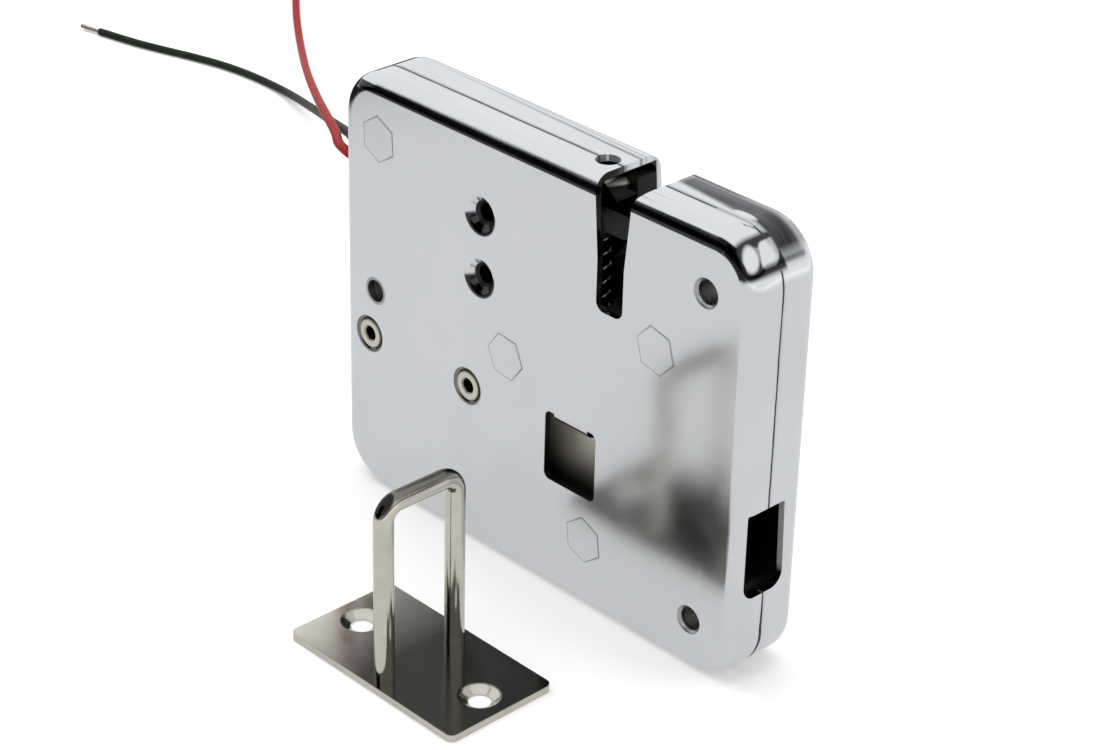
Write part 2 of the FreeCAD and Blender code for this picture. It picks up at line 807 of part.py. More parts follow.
def pawl():
    """Stamped plate: hub on the middle post, nose under the hook's heel, tail behind the window."""
    body = doc.addObject("PartDesign::Body", "pawl")
    nose_radius = size("HookHeelRadius") + 3 * clear
    nose_start = size("PawlNoseStart")
    nose_end = nose_start + size("PawlNoseWidth")
    nose_left = pivot_x + nose_start
    nose_right = pivot_x + nose_end
    nose_left_z = pivot_z - math.sqrt(nose_radius ** 2 - nose_start ** 2)
    nose_right_z = pivot_z - math.sqrt(nose_radius ** 2 - nose_end ** 2)
    hub = size("PawlHubRadius")
    half = hub / 2
    tail_right = window_right - size("PawlTailInset")
    tail_low = window_bottom - size("PawlTailDrop")
    plate = new_sketch(body, "XZ_Plane", "pawl_plate", -pawl_front)
    add_outline(
        plate,
        [
            (pawl_x - half, coil_z - half, 0.8 * half),
            (pawl_x + half, coil_z - half, 2 * small),
            (pawl_x + half, tail_low, 4 * small),
            (tail_right, tail_low, 5 * small),
            (tail_right + 0.25 * hub, window_top - 0.2 * hub, 3 * small),
            (nose_right, pawl_z - 0.12 * hub, 3 * small),
            (nose_right, nose_right_z, small),
            (nose_left, nose_left_z, small),
            (nose_left - 0.1 * hub, pawl_z + 0.12 * hub, 2.5 * small),
            (pawl_x + 0.72 * hub, pawl_z + 0.12 * hub, 2.5 * small),
            (pawl_x + 0.62 * hub, pawl_z + hub, half),
            (pawl_x - hub, pawl_z + hub, 0.9 * hub),
            (pawl_x - hub, pawl_z - 0.6 * hub, 5 * small),
        ],
    )
    pad(body, plate, "PawlThickness", reverse=True)
    holes = new_sketch(body, "XZ_Plane", "pawl_holes")
    add_circle(holes, pawl_x, pawl_z, "PostRadius + RunningGap")
    add_circle(holes, pawl_x, coil_z, "DrivePinRadius")
    pocket(body, holes, both=True)
    keep(body, "pawl")
    length = "PawlThickness + TongueThickness + 2 * TongueRear"
    keep(cylinder("drive_pin", "DrivePinRadius", length, (pawl_x, pawl_front, coil_z)), "drive_pin")
    behind = "CaseDepth / 2 - SheetWall - RunningGap"
    outer = cylinder("spacer_tube", "SpacerRadius", behind, (pawl_x, gap, pawl_z))
    bore = cylinder("spacer_bore", "PostRadius", "CaseDepth", (pawl_x, -margin, pawl_z))
    keep(cut("pawl_spacer", outer, bore), "pawl_spacer")


# Hook
def hook():
    """Claw drawn in its closed place about its pivot, then turned up to the open rest place."""
    body = doc.addObject("PartDesign::Body", "hook")
    heel = size("HookHeelRadius")
    hub = size("HookHubRadius")
    reach = size("HookReach")
    prong = size("HookProngReach")
    throat_low = -size("HookThroatBottom")
    throat_high = size("HookThroatTop")
    throat = size("HookThroatStart")
    prong_low = throat_low - size("HookProngThickness")

    def at(radius, degrees):
        return radius * math.cos(math.radians(degrees)), radius * math.sin(math.radians(degrees))

    heel_right = at(heel, -85)
    undercut = math.radians(105)
    deep = 0.2 * heel
    notch = (heel_right[0] + deep * math.cos(undercut), heel_right[1] + deep * math.sin(undercut))
    waist = at(hub, -76)
    belly = at(1.08 * hub, -48)
    heel_left = at(heel, -150)
    claw = new_sketch(body, "XZ_Plane", "claw")
    points = [
        (notch[0], notch[1], 2 * small),
        (waist[0], waist[1], 3 * small),
        (belly[0], belly[1], 6 * small),
        (throat - small, prong_low, 2 * small),
        (prong, prong_low, 3.6 * small),
        (prong, throat_low, 2 * small),
        (throat, throat_low, 4 * small),
        (throat, throat_high, 4 * small),
        (reach, throat_high, small),
        (reach, size("HookFingerTop"), 2.5 * small),
        (0.35 * hub, 0.88 * hub, 0.4 * hub),
        (-0.57 * hub, 0.57 * hub, 0.4 * hub),
        (heel_left[0], heel_left[1], 0),
    ]
    count = len(points)
    previous = Vector(heel_right[0], heel_right[1], 0)
    for index, point in enumerate(points):
        here = Vector(point[0], point[1], 0)
        if point[2] > 0:
            before = points[index - 1] if index else heel_right
            start, end, arc = corner_arc(before, point, points[(index + 1) % count], point[2])
            claw.addGeometry(arc)
        else:
            start = end = here
        claw.addGeometry(Part.LineSegment(previous, start))
        previous = end
    circle = Part.Circle(Vector(0, 0, 0), Vector(0, 0, 1), heel)
    claw.addGeometry(Part.ArcOfCircle(circle, math.radians(-150), math.radians(-85)))
    pad(body, claw, "HookThickness", reverse=True)
    bore = new_sketch(body, "XZ_Plane", "hook_bore")
    add_circle(bore, 0, 0, "HookPinRadius + RunningGap")
    pocket(body, bore, both=True)
    opened = Rotation(Vector(0, 1, 0), -size("HookTurn"))
    body.Placement = Placement(Vector(pivot_x, hook_front, pivot_z), opened)
    return keep(body, "hook")


def hook_pin():
    """Stepped pin staked in the rear tray, with a groove for its clip."""
    radius = size("HookPinRadius")
    base = size("HookPinBase")
    stake = radius - size("HookPinStep")
    core = radius - size("HookPinGroove")
    thick = size("HookClipThickness")
    groove_rear = hook_front - clear
    groove_front = groove_rear - thick - clear
    front_end = groove_front - 2 * small
    profile = [
        (0, front_end, 0),
        (radius - 2 * clear, front_end, 0),
        (radius, front_end + 2 * clear, 0),
        (radius, groove_front, 0),
        (core, groove_front, 0),
        (core, groove_rear, 0),
        (radius, groove_rear, 0),
        (radius, hook_rear + clear, 0),
        (base, hook_rear + clear, 0),
        (base, inner_depth, 0),
        (stake, inner_depth, 0),
        (stake, half_depth, 0),
        (0, half_depth, 0),
    ]
    keep(turned("hook_pin", profile, (pivot_x, 0, pivot_z), REARWARD), "hook_pin")
    body = doc.addObject("PartDesign::Body", "hook_clip")
    ring = new_sketch(body, "XZ_Plane", "clip_outline", -(groove_front + clear / 2))
    inner = 1.01 * core
    outer = size("HookClipRadius")
    mouth = math.radians(35)
    middle = Vector(pivot_x, pivot_z, 0)
    for radius_here in (inner, outer):
        arc = Part.Circle(middle, Vector(0, 0, 1), radius_here)
        ring.addGeometry(Part.ArcOfCircle(arc, mouth, 2 * math.pi - mouth))
    for sign in (1, -1):
        direction = Vector(math.cos(mouth), sign * math.sin(mouth), 0)
        ring.addGeometry(Part.LineSegment(middle + direction * inner, middle + direction * outer))
    pad(body, ring, "HookClipThickness", reverse=True)
    keep(body, "hook_clip")


# Liner of the mouth, ejector
mouth_left = mouth_x - size("MouthWidth") / 2
mouth_right = mouth_x + size("MouthWidth") / 2
channel_left = mouth_left - size("ChannelWidth")
ejector_thickness = inner_depth + hook_front - 4.5 * clear
ejector_top = top - size("EjectorTop")
spring_x = channel_left + size("SpringInset")
spring_y = -inner_depth + clear + ejector_thickness / 2
spring_top = ejector_top - 1.5 * size("EjectorNose")
spring_bottom = spring_top - size("SpringPitch") * size("SpringTurns") - size("SpringWire")


def mouth_guide():
    """Plastic liner: walls round the mouth, room for the hook between them, channel for the ejector."""
    body = doc.addObject("PartDesign::Body", "mouth_guide")
    guide_wall = size("GuideWall")
    left = channel_left - guide_wall
    right = mouth_right + size("GuideCheek")
    low = mouth_bottom - size("GuideDrop")
    high = top - size("EdgeRadius")
    beyond = high + margin
    below = low - margin
    outside = left - margin
    front = -inner_depth + gap
    block = new_sketch(body, "XZ_Plane", "guide_block", -front)
    add_outline(block, rounded_box(left, low, right, high, small))
    pad(body, block, "CaseDepth - 2 * SheetWall - RunningGap", reverse=True)
    foot = new_sketch(body, "XZ_Plane", "spring_foot", -front)
    foot_right = mouth_left + 1.8 * guide_wall
    add_outline(foot, rounded_box(left, spring_bottom - guide_wall, foot_right, low + guide_wall, small))
    pad(body, foot, "CaseDepth / 2 - SheetWall - HookFront - 3 * Clearance", reverse=True)
    slot = new_sketch(body, "XZ_Plane", "guide_slot")
    add_outline(slot, mouth_outline(clear))
    pocket(body, slot, both=True)
    # room for the hook between the cheeks
    layer = hook_rear + 2 * clear
    inner_end = mouth_x + clear
    pocket_end = pivot_x + size("HookReach") + 2 * small
    pocket_low = pivot_z + guide_wall
    pocket_high = pivot_z + size("HookFingerTop") + 2.1 * guide_wall
    room_front = hook_front - 2 * clear
    rooms = new_sketch(body, "XZ_Plane", "hook_room", -room_front)
    add_outline(
        rooms,
        [
            (outside, below, 0),
            (inner_end, below, 0),
            (inner_end, pocket_low, 0),
            (pocket_end, pocket_low, 0),
            (pocket_end, pocket_high, 0),
            (inner_end, pocket_high, 0),
            (inner_end, beyond, 0),
            (outside, beyond, 0),
        ],
    )
    pocket(body, rooms, "HookThickness + 4 * Clearance", reverse=False)
    channel = new_sketch(body, "XZ_Plane", "ejector_channel", -room_front)
    neck = mouth_left + 2 * clear
    shelf = mouth_bottom - clear
    add_outline(
        channel,
        [
            (channel_left, spring_bottom, small),
            (neck, spring_bottom, small),
            (neck, shelf, 0),
            (mouth_x, shelf, 0),
            (mouth_x, beyond, 0),
            (channel_left, beyond, 0),
        ],
    )
    pocket(body, channel, "CaseDepth / 2", reverse=True)
    cheek = new_sketch(body, "XZ_Plane", "rear_cheek_left", -layer)
    cheek_left = pivot_x + 1.4 * size("HookPinBase")
    add_outline(cheek, rounded_box(outside, below, cheek_left, beyond, small))
    pocket(body, cheek, "CaseDepth")
    return keep(body, "mouth_guide")


def ejector():
    """Slider with a nose across the mouth, pressed up by its spring."""
    body = doc.addObject("PartDesign::Body", "ejector")
    front = -inner_depth + clear
    nose = size("EjectorNose")
    left = channel_left + clear
    neck = mouth_left + clear
    tip = mouth_right - 3 * clear
    form = new_sketch(body, "XZ_Plane", "slider", -front)
    add_outline(
        form,
        [
            (left, ejector_top, small),
            (left, spring_top, 0),
            (neck, spring_top, small),
            (neck, ejector_top - nose, small),
            (tip, ejector_top - nose, 0.6 * nose),
            (tip, ejector_top, 2 * small),
        ],
    )
    pad(body, form, "CaseDepth / 2 - SheetWall - HookFront - 4.5 * Clearance", reverse=True)
    return keep(body, "ejector")


# Springs and leads: round wire swept along straight runs and arcs
def arc_between(start, control, end):
    """Arc that is tangent to both sides of its control point, which lie equally far from it."""
    turn = (control - start).getAngle(end - control)
    if turn < 1e-6:
        return Part.LineSegment(start, end)
    weight = math.cos(turn / 2)
    middle = (start + control * (2 * weight) + end) * (1 / (2 + 2 * weight))
    return Part.Arc(start, middle, end)


def helix_point(centre, axis, side, radius, pitch, angle):
    """Point and direction of a coil about an axis, at an angle in radians from its side."""
    across = axis.cross(side)
    out = side * math.cos(angle) + across * math.sin(angle)
    along = across * math.cos(angle) - side * math.sin(angle)
    point = centre + out * radius + axis * (pitch * angle / (2 * math.pi))
    return point, (along * radius + axis * (pitch / (2 * math.pi))).normalize()


def coil_edges(centre, axis, side, radius, pitch, turns):
    """Biarcs of half a turn each."""
    edges = []
    for half_turn in range(int(round(turns * 2))):
        start, along = helix_point(centre, axis, side, radius, pitch, half_turn * math.pi)
        end, leaving = helix_point(centre, axis, side, radius, pitch, (half_turn + 1) * math.pi)
        chord = end - start
        both = along + leaving
        spread = 2 * (1 - along.dot(leaving))
        lean = chord.dot(both)
        reach = (math.sqrt(lean ** 2 + spread * chord.dot(chord)) - lean) / spread
        first = start + along * reach
        last = end - leaving * reach
        middle = (first + last) * 0.5
        edges.append(arc_between(start, first, middle))
        edges.append(arc_between(middle, last, end))
    return edges


def sweep(label, curves, radius):
    """Solid of round section along joined curves, as a sub-part."""
    edges = [curve.toShape() for curve in curves]
    path = Part.Wire(edges)
    first = edges[0]
    start = first.valueAt(first.FirstParameter)
    direction = first.tangentAt(first.FirstParameter)
    circle = Part.Wire([Part.Circle(start, direction, radius).toShape()])
    feature = doc.addObject("Part::Feature", label)
    feature.Shape = path.makePipeShell([circle], True, False)
    expected = math.pi * radius ** 2 * path.Length
    share = feature.Shape.Volume / expected
    print("%s: length %.1f, volume %.4f of section times length" % (label, path.Length, share))
    return keep(feature, label)


def compression_spring():
    """Ejector's spring, standing in the liner's foot."""
    wire = size("SpringWire")
    base = Vector(spring_x, spring_y, spring_bottom + wire / 2)
    upright = Vector(0, 0, 1)
    sideways = Vector(1, 0, 0)
    pitch = size("SpringPitch")
    radius = (ejector_thickness + clear / 2 - wire) / 2
    curves = coil_edges(base, upright, sideways, radius, pitch, size("SpringTurns"))
    print("ejector_spring: least gap between turns %.2f" % (pitch - wire))
    return sweep("ejector_spring", curves, wire / 2)


def torsion_spring(label, centre, radius, side, start_leg, end_leg, room):
    """Coil about +Y with a straight leg at each end, which fills the room it has along Y."""
    axis = Vector(0, 1, 0)
    wire = size("TorsionWire")
    turns = size("TorsionTurns")
    pitch = (room - wire) / (turns + (start_leg + end_leg) / (2 * math.pi * radius))
    centre = centre + axis * (start_leg * pitch / (2 * math.pi * radius))
    start, along = helix_point(centre, axis, side, radius, pitch, 0)
    end, leaving = helix_point(centre, axis, side, radius, pitch, turns * 2 * math.pi)
    curves = [Part.LineSegment(start - along * start_leg, start)]
    curves += coil_edges(centre, axis, side, radius, pitch, turns)
    curves.append(Part.LineSegment(end, end + leaving * end_leg))
    print("%s: least gap between turns %.2f" % (label, pitch - wire))
    return sweep(label, curves, wire / 2)


def torsion_springs():
    """Springs of the hook, behind it, and of the pawl, in front of it."""
    wire = size("TorsionWire")
    behind = hook_rear + 3.5 * clear
    hook_room = inner_depth - 3 * clear - behind
    hook_coil = Vector(pivot_x, behind + wire / 2, pivot_z)
    hook_radius = size("HookPinBase") + 2 * clear + wire / 2
    hook_leg = size("HookSpringLeg")
    leftward = Vector(-1, 0, 0)
    torsion_spring("hook_spring", hook_coil, hook_radius, leftward, hook_leg, hook_leg, hook_room)
    before = -inner_depth + clear
    pawl_room = pawl_front - gap - before
    pawl_coil = Vector(pawl_x, before + wire / 2, pawl_z)
    pawl_radius = size("PostRadius") + 1.5 * clear + wire / 2
    pawl_leg = size("PawlSpringLeg")
    upward = Vector(0, 0, 1)
    other_leg = 0.85 * pawl_leg
    torsion_spring("pawl_spring", pawl_coil, pawl_radius, upward, pawl_leg, other_leg, pawl_room)


def route_curves(label, points, least_diameters):
    """Straight runs joined by tangent arcs as large as the runs allow."""
    corners = [Vector(*point) for point in points]
    curves = []
    last = corners[0]
    radii = []
    for before, here, after in zip(corners[:-2], corners[1:-1], corners[2:]):
        back = before - here
        ahead = after - here
        turn = math.pi - back.getAngle(ahead)
        reach = 0.45 * min(back.Length, ahead.Length)
        radii.append(reach / math.tan(turn / 2))
        start = here + back.normalize() * reach
        end = here + ahead.normalize() * reach
        curves.append(Part.LineSegment(last, start))
        curves.append(arc_between(start, here, end))
        last = end
    curves.append(Part.LineSegment(last, corners[-1]))
    print("%s: bend radii %s" % (label, " ".join("%.0f" % radius for radius in radii)))
    if min(radii) < least_diameters * 2 * size("LeadRadius"):
        raise ValueError(label + " bends too tightly")
    return curves


exit_y = size("LeadExitRear")
exit_z = top - size("LeadExitDrop")
black_exit_z = exit_z + size("LeadSpacing") / 2
red_exit_z = exit_z - size("LeadSpacing") / 2
# way of each lead from the case: how far left, how far back, and its share of the exit's height
black_way = [
    (0.0, 0.0, 1.0),
    (6.0, 0.0, 1.0),
    (11.5, 3.8, 0.969),
    (21.9, 11.5, 0.86),
    (43.3, 27.9, 0.632),
    (64.6, 43.6, 0.416),
    (84.9, 58.1, 0.22),
    (100.9, 68.2, 0.086),
    (113.0, 74.1, 0.014),
    (119.9, 75.4, 0.0),
    (127.5, 75.3, 0.0),
    (135.2, 74.3, 0.0),
    (142.8, 72.2, 0.0),
    (149.6, 69.9, 0.0),
    (156.9, 67.8, 0.0),
    (164.9, 66.3, 0.0),
]
red_way = [
    (0.0, 0.0, 1.0),
    (5.5, 0.0, 1.0),
    (12.0, 1.8, 0.993),
    (17.2, 5.9, 0.965),
    (29.7, 14.9, 0.865),
    (51.0, 30.8, 0.667),
    (78.0, 51.2, 0.417),
    (105.3, 71.7, 0.187),
    (126.1, 87.4, 0.043),
    (139.5, 97.3, 0.0),
    (149.3, 104.7, 0.0),
    (159.3, 112.9, 0.0),
]


def lead_route(way, height):
    """Points of a lead that leaves the case at a height and comes down to the floor."""
    lowest = size("LeadRadius") + gap
    points = []
    for left, back, share in way:
        points.append((-half_width - left, exit_y + back, lowest + share * (height - lowest)))
    return points


def leads():
    """Leads from the winding through the bush and along the floor, with bare tinned ends."""
    radius = size("LeadRadius")
    coil_top = coil_z + size("CoilRadius") + clear
    run = size("LeadInnerRun")
    shift = 1.6 * radius
    for colour, way, height, side in (
        ("black", black_way, black_exit_z, shift),
        ("red", red_way, red_exit_z, -shift),
    ):
        route = lead_route(way, height)
        sweep(colour + "_wire", route_curves(colour + "_wire", route, 3), radius)
        end = Vector(*route[-1])
        direction = (end - Vector(*route[-2])).normalize()
        tip = doc.addObject("Part::Cylinder", colour + "_wire_end")
        bind(tip, {"Radius": "TinnedRadius", "Height": "TinnedLength"})
        tip.Placement = Placement(end, Rotation(Vector(0, 0, 1), direction))
        keep(tip, colour + "_wire_end")
        drop = height - coil_top
        inner_route = [
            (-half_width, exit_y, height),
            (-half_width + run, exit_y, height),
            (ear_left + 0.8 * run + side, exit_y + 0.4 * side, height - 0.32 * drop),
            (ear_left + 1.2 * run + 2 * side, exit_y + 0.6 * side, height - 0.6 * drop),
            (ear_left + 1.25 * run + 2 * side, coil_y, coil_top),
        ]
        label = colour + "_inner_lead"
        sweep(label, route_curves(label, inner_route, 2), radius)


def wire_bush():
    """Bush that lines the way out, with a flange inside the wall and a bore for each lead."""
    body = doc.addObject("PartDesign::Body", "wire_bush")
    plug = new_sketch(body, "YZ_Plane", "bush_plug", -half_width)
    add_outline(plug, bush_outline(-0.02))
    pad(body, plug, "1.6 * SheetWall")
    flange = new_sketch(body, "YZ_Plane", "bush_flange", -half_width + wall)
    add_outline(flange, bush_outline(size("BushFlange")))
    pad(body, flange, "0.6 * SheetWall")
    bores = new_sketch(body, "YZ_Plane", "bush_bores")
    for z in (black_exit_z, red_exit_z):
        add_circle(bores, exit_y, z, "LeadRadius")
    pocket(body, bores, reverse=False)
    return keep(body, "wire_bush")


# Striker
def striker_plate():
    """Plate with two countersunk screw holes."""
    body = doc.addObject("PartDesign::Body", "striker_plate")
    x = size("StrikerX")
    y = size("StrikerY")
    half_length = size("StrikerLength") / 2
    half = size("StrikerWidth") / 2
    thick = size("StrikerPlate")
    straight = 0.25 * thick
    form = new_sketch(body, "XY_Plane", "plate_form")
    add_outline(form, rounded_box(x - half_length, y - half, x + half_length, y + half, size("StrikerCorner")))
    pad(body, form, "StrikerPlate")
    holes = new_sketch(body, "XY_Plane", "plate_holes")
    for sign in (-1, 1):
        add_circle(holes, x + sign * size("StrikerHolePitch") / 2, y, "StrikerHoleRadius")
    pocket(body, holes, both=True)
    for sign in (-1, 1):
        sink = body.newObject("PartDesign::SubtractiveCone", "plate_sink")
        sink.Radius1 = size("StrikerHoleRadius")
        sink.Radius2 = size("StrikerSinkRadius")
        sink.Height = thick - straight
        place = Vector(x + sign * size("StrikerHolePitch") / 2, y, straight)
        sink.Placement = Placement(place, Rotation())
    doc.recompute()
    return keep(body, "striker_plate")


def striker_loop():
    """Bent round bar whose feet are welded on the plate."""
    x = size("StrikerX")
    y = size("StrikerY")
    wire = size("LoopWire")
    half = size("LoopSpan") / 2
    foot = size("StrikerPlate")
    high = size("LoopHeight") - wire
    bend = size("LoopBend")
    corners = [
        Vector(x, y - half, foot),
        Vector(x, y - half, high),
        Vector(x, y + half, high),
        Vector(x, y + half, foot),
    ]
    up = Vector(0, 0, bend)
    along = Vector(0, bend, 0)
    curves = [
        Part.LineSegment(corners[0], corners[1] - up),
        arc_between(corners[1] - up, corners[1], corners[1] + along),
        Part.LineSegment(corners[1] + along, corners[2] - along),
        arc_between(corners[2] - along, corners[2], corners[2] - up),
        Part.LineSegment(corners[2] - up, corners[3]),
    ]
    bar = sweep("loop_bar", curves, wire)
    parts.remove(bar)
    welds = []
    for sign in (-1, 1):
        weld = doc.addObject("Part::Cone", "weld")
        weld.Radius1 = wire + size("WeldWidth")
        weld.Radius2 = wire
        bind(weld, {"Height": "WeldHeight"})
        weld.Placement = Placement(Vector(x, y + sign * half, foot), Rotation())
        welds.append(weld)
    keep(fuse("striker_loop", [bar] + welds), "striker_loop")


front_shell()
rear_shell()
mounting_sleeves()
hex_posts()
case_screws()
rivet_set()
magnet_frame()
coil_parts()
plunger()
pawl()
hook()
hook_pin()
mouth_guide()
ejector()
compression_spring()
torsion_springs()
leads()
wire_bush()
striker_plate()
striker_loop()
doc.recompute()

for feature in doc.Objects:
    if "Invalid" in feature.State or "Error" in feature.State:
        raise ValueError("%s is %s" % (feature.Name, feature.State))
for part in parts:
    if part.Shape.isNull() or not part.Shape.isValid():
        raise ValueError(part.Label + " has no valid shape")

os.makedirs("parts", exist_ok=True)
for part in parts:
    part.Shape.exportStep("parts/%s.step" % part.Label)
print("%d sub-parts" % len(parts))
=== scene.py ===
import json
import math

import bmesh
import bpy
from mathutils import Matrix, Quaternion, Vector


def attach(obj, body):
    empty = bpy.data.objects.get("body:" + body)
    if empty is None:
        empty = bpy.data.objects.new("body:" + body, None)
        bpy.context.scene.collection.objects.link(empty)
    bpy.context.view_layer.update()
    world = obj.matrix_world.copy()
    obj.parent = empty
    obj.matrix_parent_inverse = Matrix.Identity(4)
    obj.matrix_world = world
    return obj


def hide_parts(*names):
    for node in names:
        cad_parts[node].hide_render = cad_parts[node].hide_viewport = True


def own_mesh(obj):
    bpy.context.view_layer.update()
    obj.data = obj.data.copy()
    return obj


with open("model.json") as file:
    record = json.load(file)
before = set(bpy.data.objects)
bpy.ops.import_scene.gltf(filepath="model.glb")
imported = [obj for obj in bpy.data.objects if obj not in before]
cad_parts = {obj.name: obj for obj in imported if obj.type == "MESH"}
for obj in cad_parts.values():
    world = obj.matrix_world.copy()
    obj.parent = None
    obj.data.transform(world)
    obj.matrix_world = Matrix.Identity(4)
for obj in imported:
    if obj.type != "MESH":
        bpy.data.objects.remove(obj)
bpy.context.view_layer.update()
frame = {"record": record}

# Electric cabinet lock in a white light tent. Metres; the lock stands on its bottom edge,
# its front looks towards -Y, its right-hand narrow side towards +X.

MM = 0.001


# Shader writing: a socket wrapped so that sums read as sums
class Value:
    """A shader socket, or a plain number, that takes part in sums."""

    shader = None

    def __init__(self, socket):
        self.socket = socket

    def math(self, operation, *others, clamp=False):
        """Result of a Math node with this value as its first input."""
        node = self.shader.tree.nodes.new("ShaderNodeMath")
        node.operation = operation
        node.use_clamp = clamp
        for place, other in enumerate((self,) + others):
            self.shader.feed(node.inputs[place], other)
        return Value(node.outputs[0])

    def __add__(self, other):
        return self.math("ADD", other)

    __radd__ = __add__

    def __mul__(self, other):
        return self.math("MULTIPLY", other)

    __rmul__ = __mul__

    def __sub__(self, other):
        return self.math("SUBTRACT", other)

    def __rsub__(self, other):
        return Value(other).math("SUBTRACT", self)

    def __abs__(self):
        return self.math("ABSOLUTE")

    def clamped(self):
        """The value held between 0 and 1."""
        return self.math("ADD", 0.0, clamp=True)


class Finish:
    """A node material under construction."""

    def __init__(self, name, tree=None):
        if tree is None:
            self.material = bpy.data.materials.new(name)
            self.material.use_nodes = True
            tree = self.material.node_tree
        self.tree = tree
        self.tree.nodes.clear()
        Value.shader = self

    def feed(self, socket, given):
        """Puts a value on a socket, or links one to it."""
        if isinstance(given, Value):
            given = given.socket
        if isinstance(given, bpy.types.NodeSocket):
            self.tree.links.new(given, socket)
        elif hasattr(given, "__len__") and len(given) == 3 and socket.type == "RGBA":
            socket.default_value = (*given, 1.0)
        else:
            socket.default_value = given

    def node(self, kind, settings=None, **inputs):
        """Any node, with its settings first and then its inputs by name."""
        made = self.tree.nodes.new("ShaderNode" + kind)
        for name, setting in (settings or {}).items():
            setattr(made, name, setting)
        for name, given in inputs.items():
            self.feed(made.inputs[name.replace("_", " ")], given)
        return made

    def place(self):
        """The point's own place on the object, in millimetres, as three values."""
        coordinates = self.node("TexCoord").outputs["Object"]
        parts = self.node("SeparateXYZ", Vector=coordinates).outputs
        return [Value(part) * (1.0 / MM) for part in parts]

    def noise(self, scale, detail=2.0, stretch=(1.0, 1.0, 1.0)):
        """Cloudy pattern from 0 to 1; scale is in features per metre."""
        coordinates = self.node("TexCoord").outputs["Object"]
        mapped = self.node("Mapping", Vector=coordinates, Scale=stretch).outputs[0]
        made = self.node("TexNoise", Vector=mapped, Scale=scale, Detail=detail, Roughness=0.5)
        return Value(made.outputs["Fac"])

    def range(self, value, low, high, to_low=0.0, to_high=1.0):
        """Value stretched from one range to another and held within it."""
        made = self.node(
            "MapRange",
            {"clamp": True},
            Value=value,
            From_Min=low,
            From_Max=high,
            To_Min=to_low,
            To_Max=to_high,
        )
        return Value(made.outputs[0])

    def below(self, value, low, high):
        """1 up to the first limit, 0 from the second on."""
        return self.range(value, low, high, 1.0, 0.0)

    def within(self, value, low, high, edge):
        """1 between two limits, 0 beyond them, with a soft edge outside each."""
        return self.range(value, low - edge, low) * self.below(value, high, high + edge)

    def blot(self, across, up, width, height, power=2.0):
        """1 inside a rounded spot, 0 outside it, soft between."""
        wide = abs(across * (1.0 / width)).math("POWER", power)
        tall = abs(up * (1.0 / height)).math("POWER", power)
        return self.below(wide + tall, 0.6, 1.35)

    def blend(self, factor, first, second):
        """Colour between two colours."""
        made = self.node("Mix", {"data_type": "RGBA"})
        self.feed(made.inputs["Factor"], factor)
        self.feed(made.inputs[6], first)
        self.feed(made.inputs[7], second)
        return made.outputs[2]

    def bump(self, height, depth, strength=1.0, normal=None):
        """Relief of a depth in metres."""
        made = self.node("Bump", Height=height, Strength=strength, Distance=depth)
        if normal is not None:
            self.feed(made.inputs["Normal"], normal)
        return made.outputs[0]

    def principled(self, **inputs):
        """Principled surface joined to the output."""
        made = self.node("BsdfPrincipled", **inputs)
        self.node("OutputMaterial", Surface=made.outputs[0])
        return self.material


def distance(across, up):
    """Length of two lengths at right angles."""
    return (across * across + up * up).math("SQRT")


def most(first, *others):
    """Largest of several values."""
    for other in others:
        first = first.math("MAXIMUM", other)
    return first


# Camera of the photograph
LENS = 93.66
FILM_WIDTH = 36.0
CAMERA_PLACE = Vector((0.2482, -0.2455, 0.2210))
CAMERA_AIM = Vector((-0.00249, 0.0, 0.02898))
CAMERA_ROLL = math.radians(1.485)


def camera():
    """Camera at the photograph's angle."""
    data = bpy.data.cameras.new("camera")
    data.lens = LENS
    data.sensor_width = FILM_WIDTH
    made = bpy.data.objects.new("camera", data)
    straight = (CAMERA_AIM - CAMERA_PLACE).to_track_quat("-Z", "Y")
    made.location = CAMERA_PLACE
    made.rotation_mode = "QUATERNION"
    made.rotation_quaternion = straight @ Quaternion((0, 0, 1), CAMERA_ROLL)
    bpy.context.collection.objects.link(made)
    bpy.context.scene.camera = made


# Leads: routes in millimetres from the wire hole on, lengths in metres
BLACK_ROUTE = [
    (-40, 1.4, 49.4),
    (-46.0, 1.4, 49.4),
    (-51.5, 5.2, 47.9),
    (-61.9, 12.9, 42.6),
    (-83.3, 29.3, 31.5),
    (-104.6, 45.0, 21.0),
    (-124.9, 59.5, 11.5),
    (-140.9, 69.6, 5.0),
    (-153.0, 75.5, 1.5),
    (-159.9, 76.8, 0.8),
    (-167.5, 76.7, 0.8),
    (-175.2, 75.7, 0.8),
    (-182.8, 73.6, 0.8),
    (-189.6, 71.3, 0.8),
    (-196.9, 69.2, 0.8),
    (-204.9, 67.7, 0.8),
]
RED_ROUTE = [
    (-40, 1.4, 46.8),
    (-45.5, 1.4, 46.8),
    (-52.0, 3.2, 46.5),
    (-57.2, 7.3, 45.2),
    (-69.7, 16.3, 40.6),
    (-91.0, 32.2, 31.5),
    (-118.0, 52.6, 20.0),
    (-145.3, 73.1, 9.4),
    (-166.1, 88.8, 2.8),
    (-179.5, 98.7, 0.8),
    (-189.3, 106.1, 0.8),
    (-199.3, 114.3, 0.8),
]
LEAD_DIAMETER = 1.5 * MM


def lead(name, route, material):
    """One lead: a smooth curve through its route."""
    curve = bpy.data.curves.new(name, "CURVE")
    curve.dimensions = "3D"
    spline = curve.splines.new("NURBS")
    spline.points.add(len(route) - 1)
    for point, (x, y, z) in zip(spline.points, route):
        point.co = (x * MM, y * MM, z * MM, 1.0)
    spline.order_u = 3
    spline.use_endpoint_u = True
    curve.bevel_depth = LEAD_DIAMETER / 2
    curve.bevel_resolution = 5
    curve.resolution_u = 12
    curve.use_fill_caps = True
    made = bpy.data.objects.new(name, curve)
    bpy.context.collection.objects.link(made)
    curve.materials.append(material)
    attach(made, "root")
    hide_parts(name)


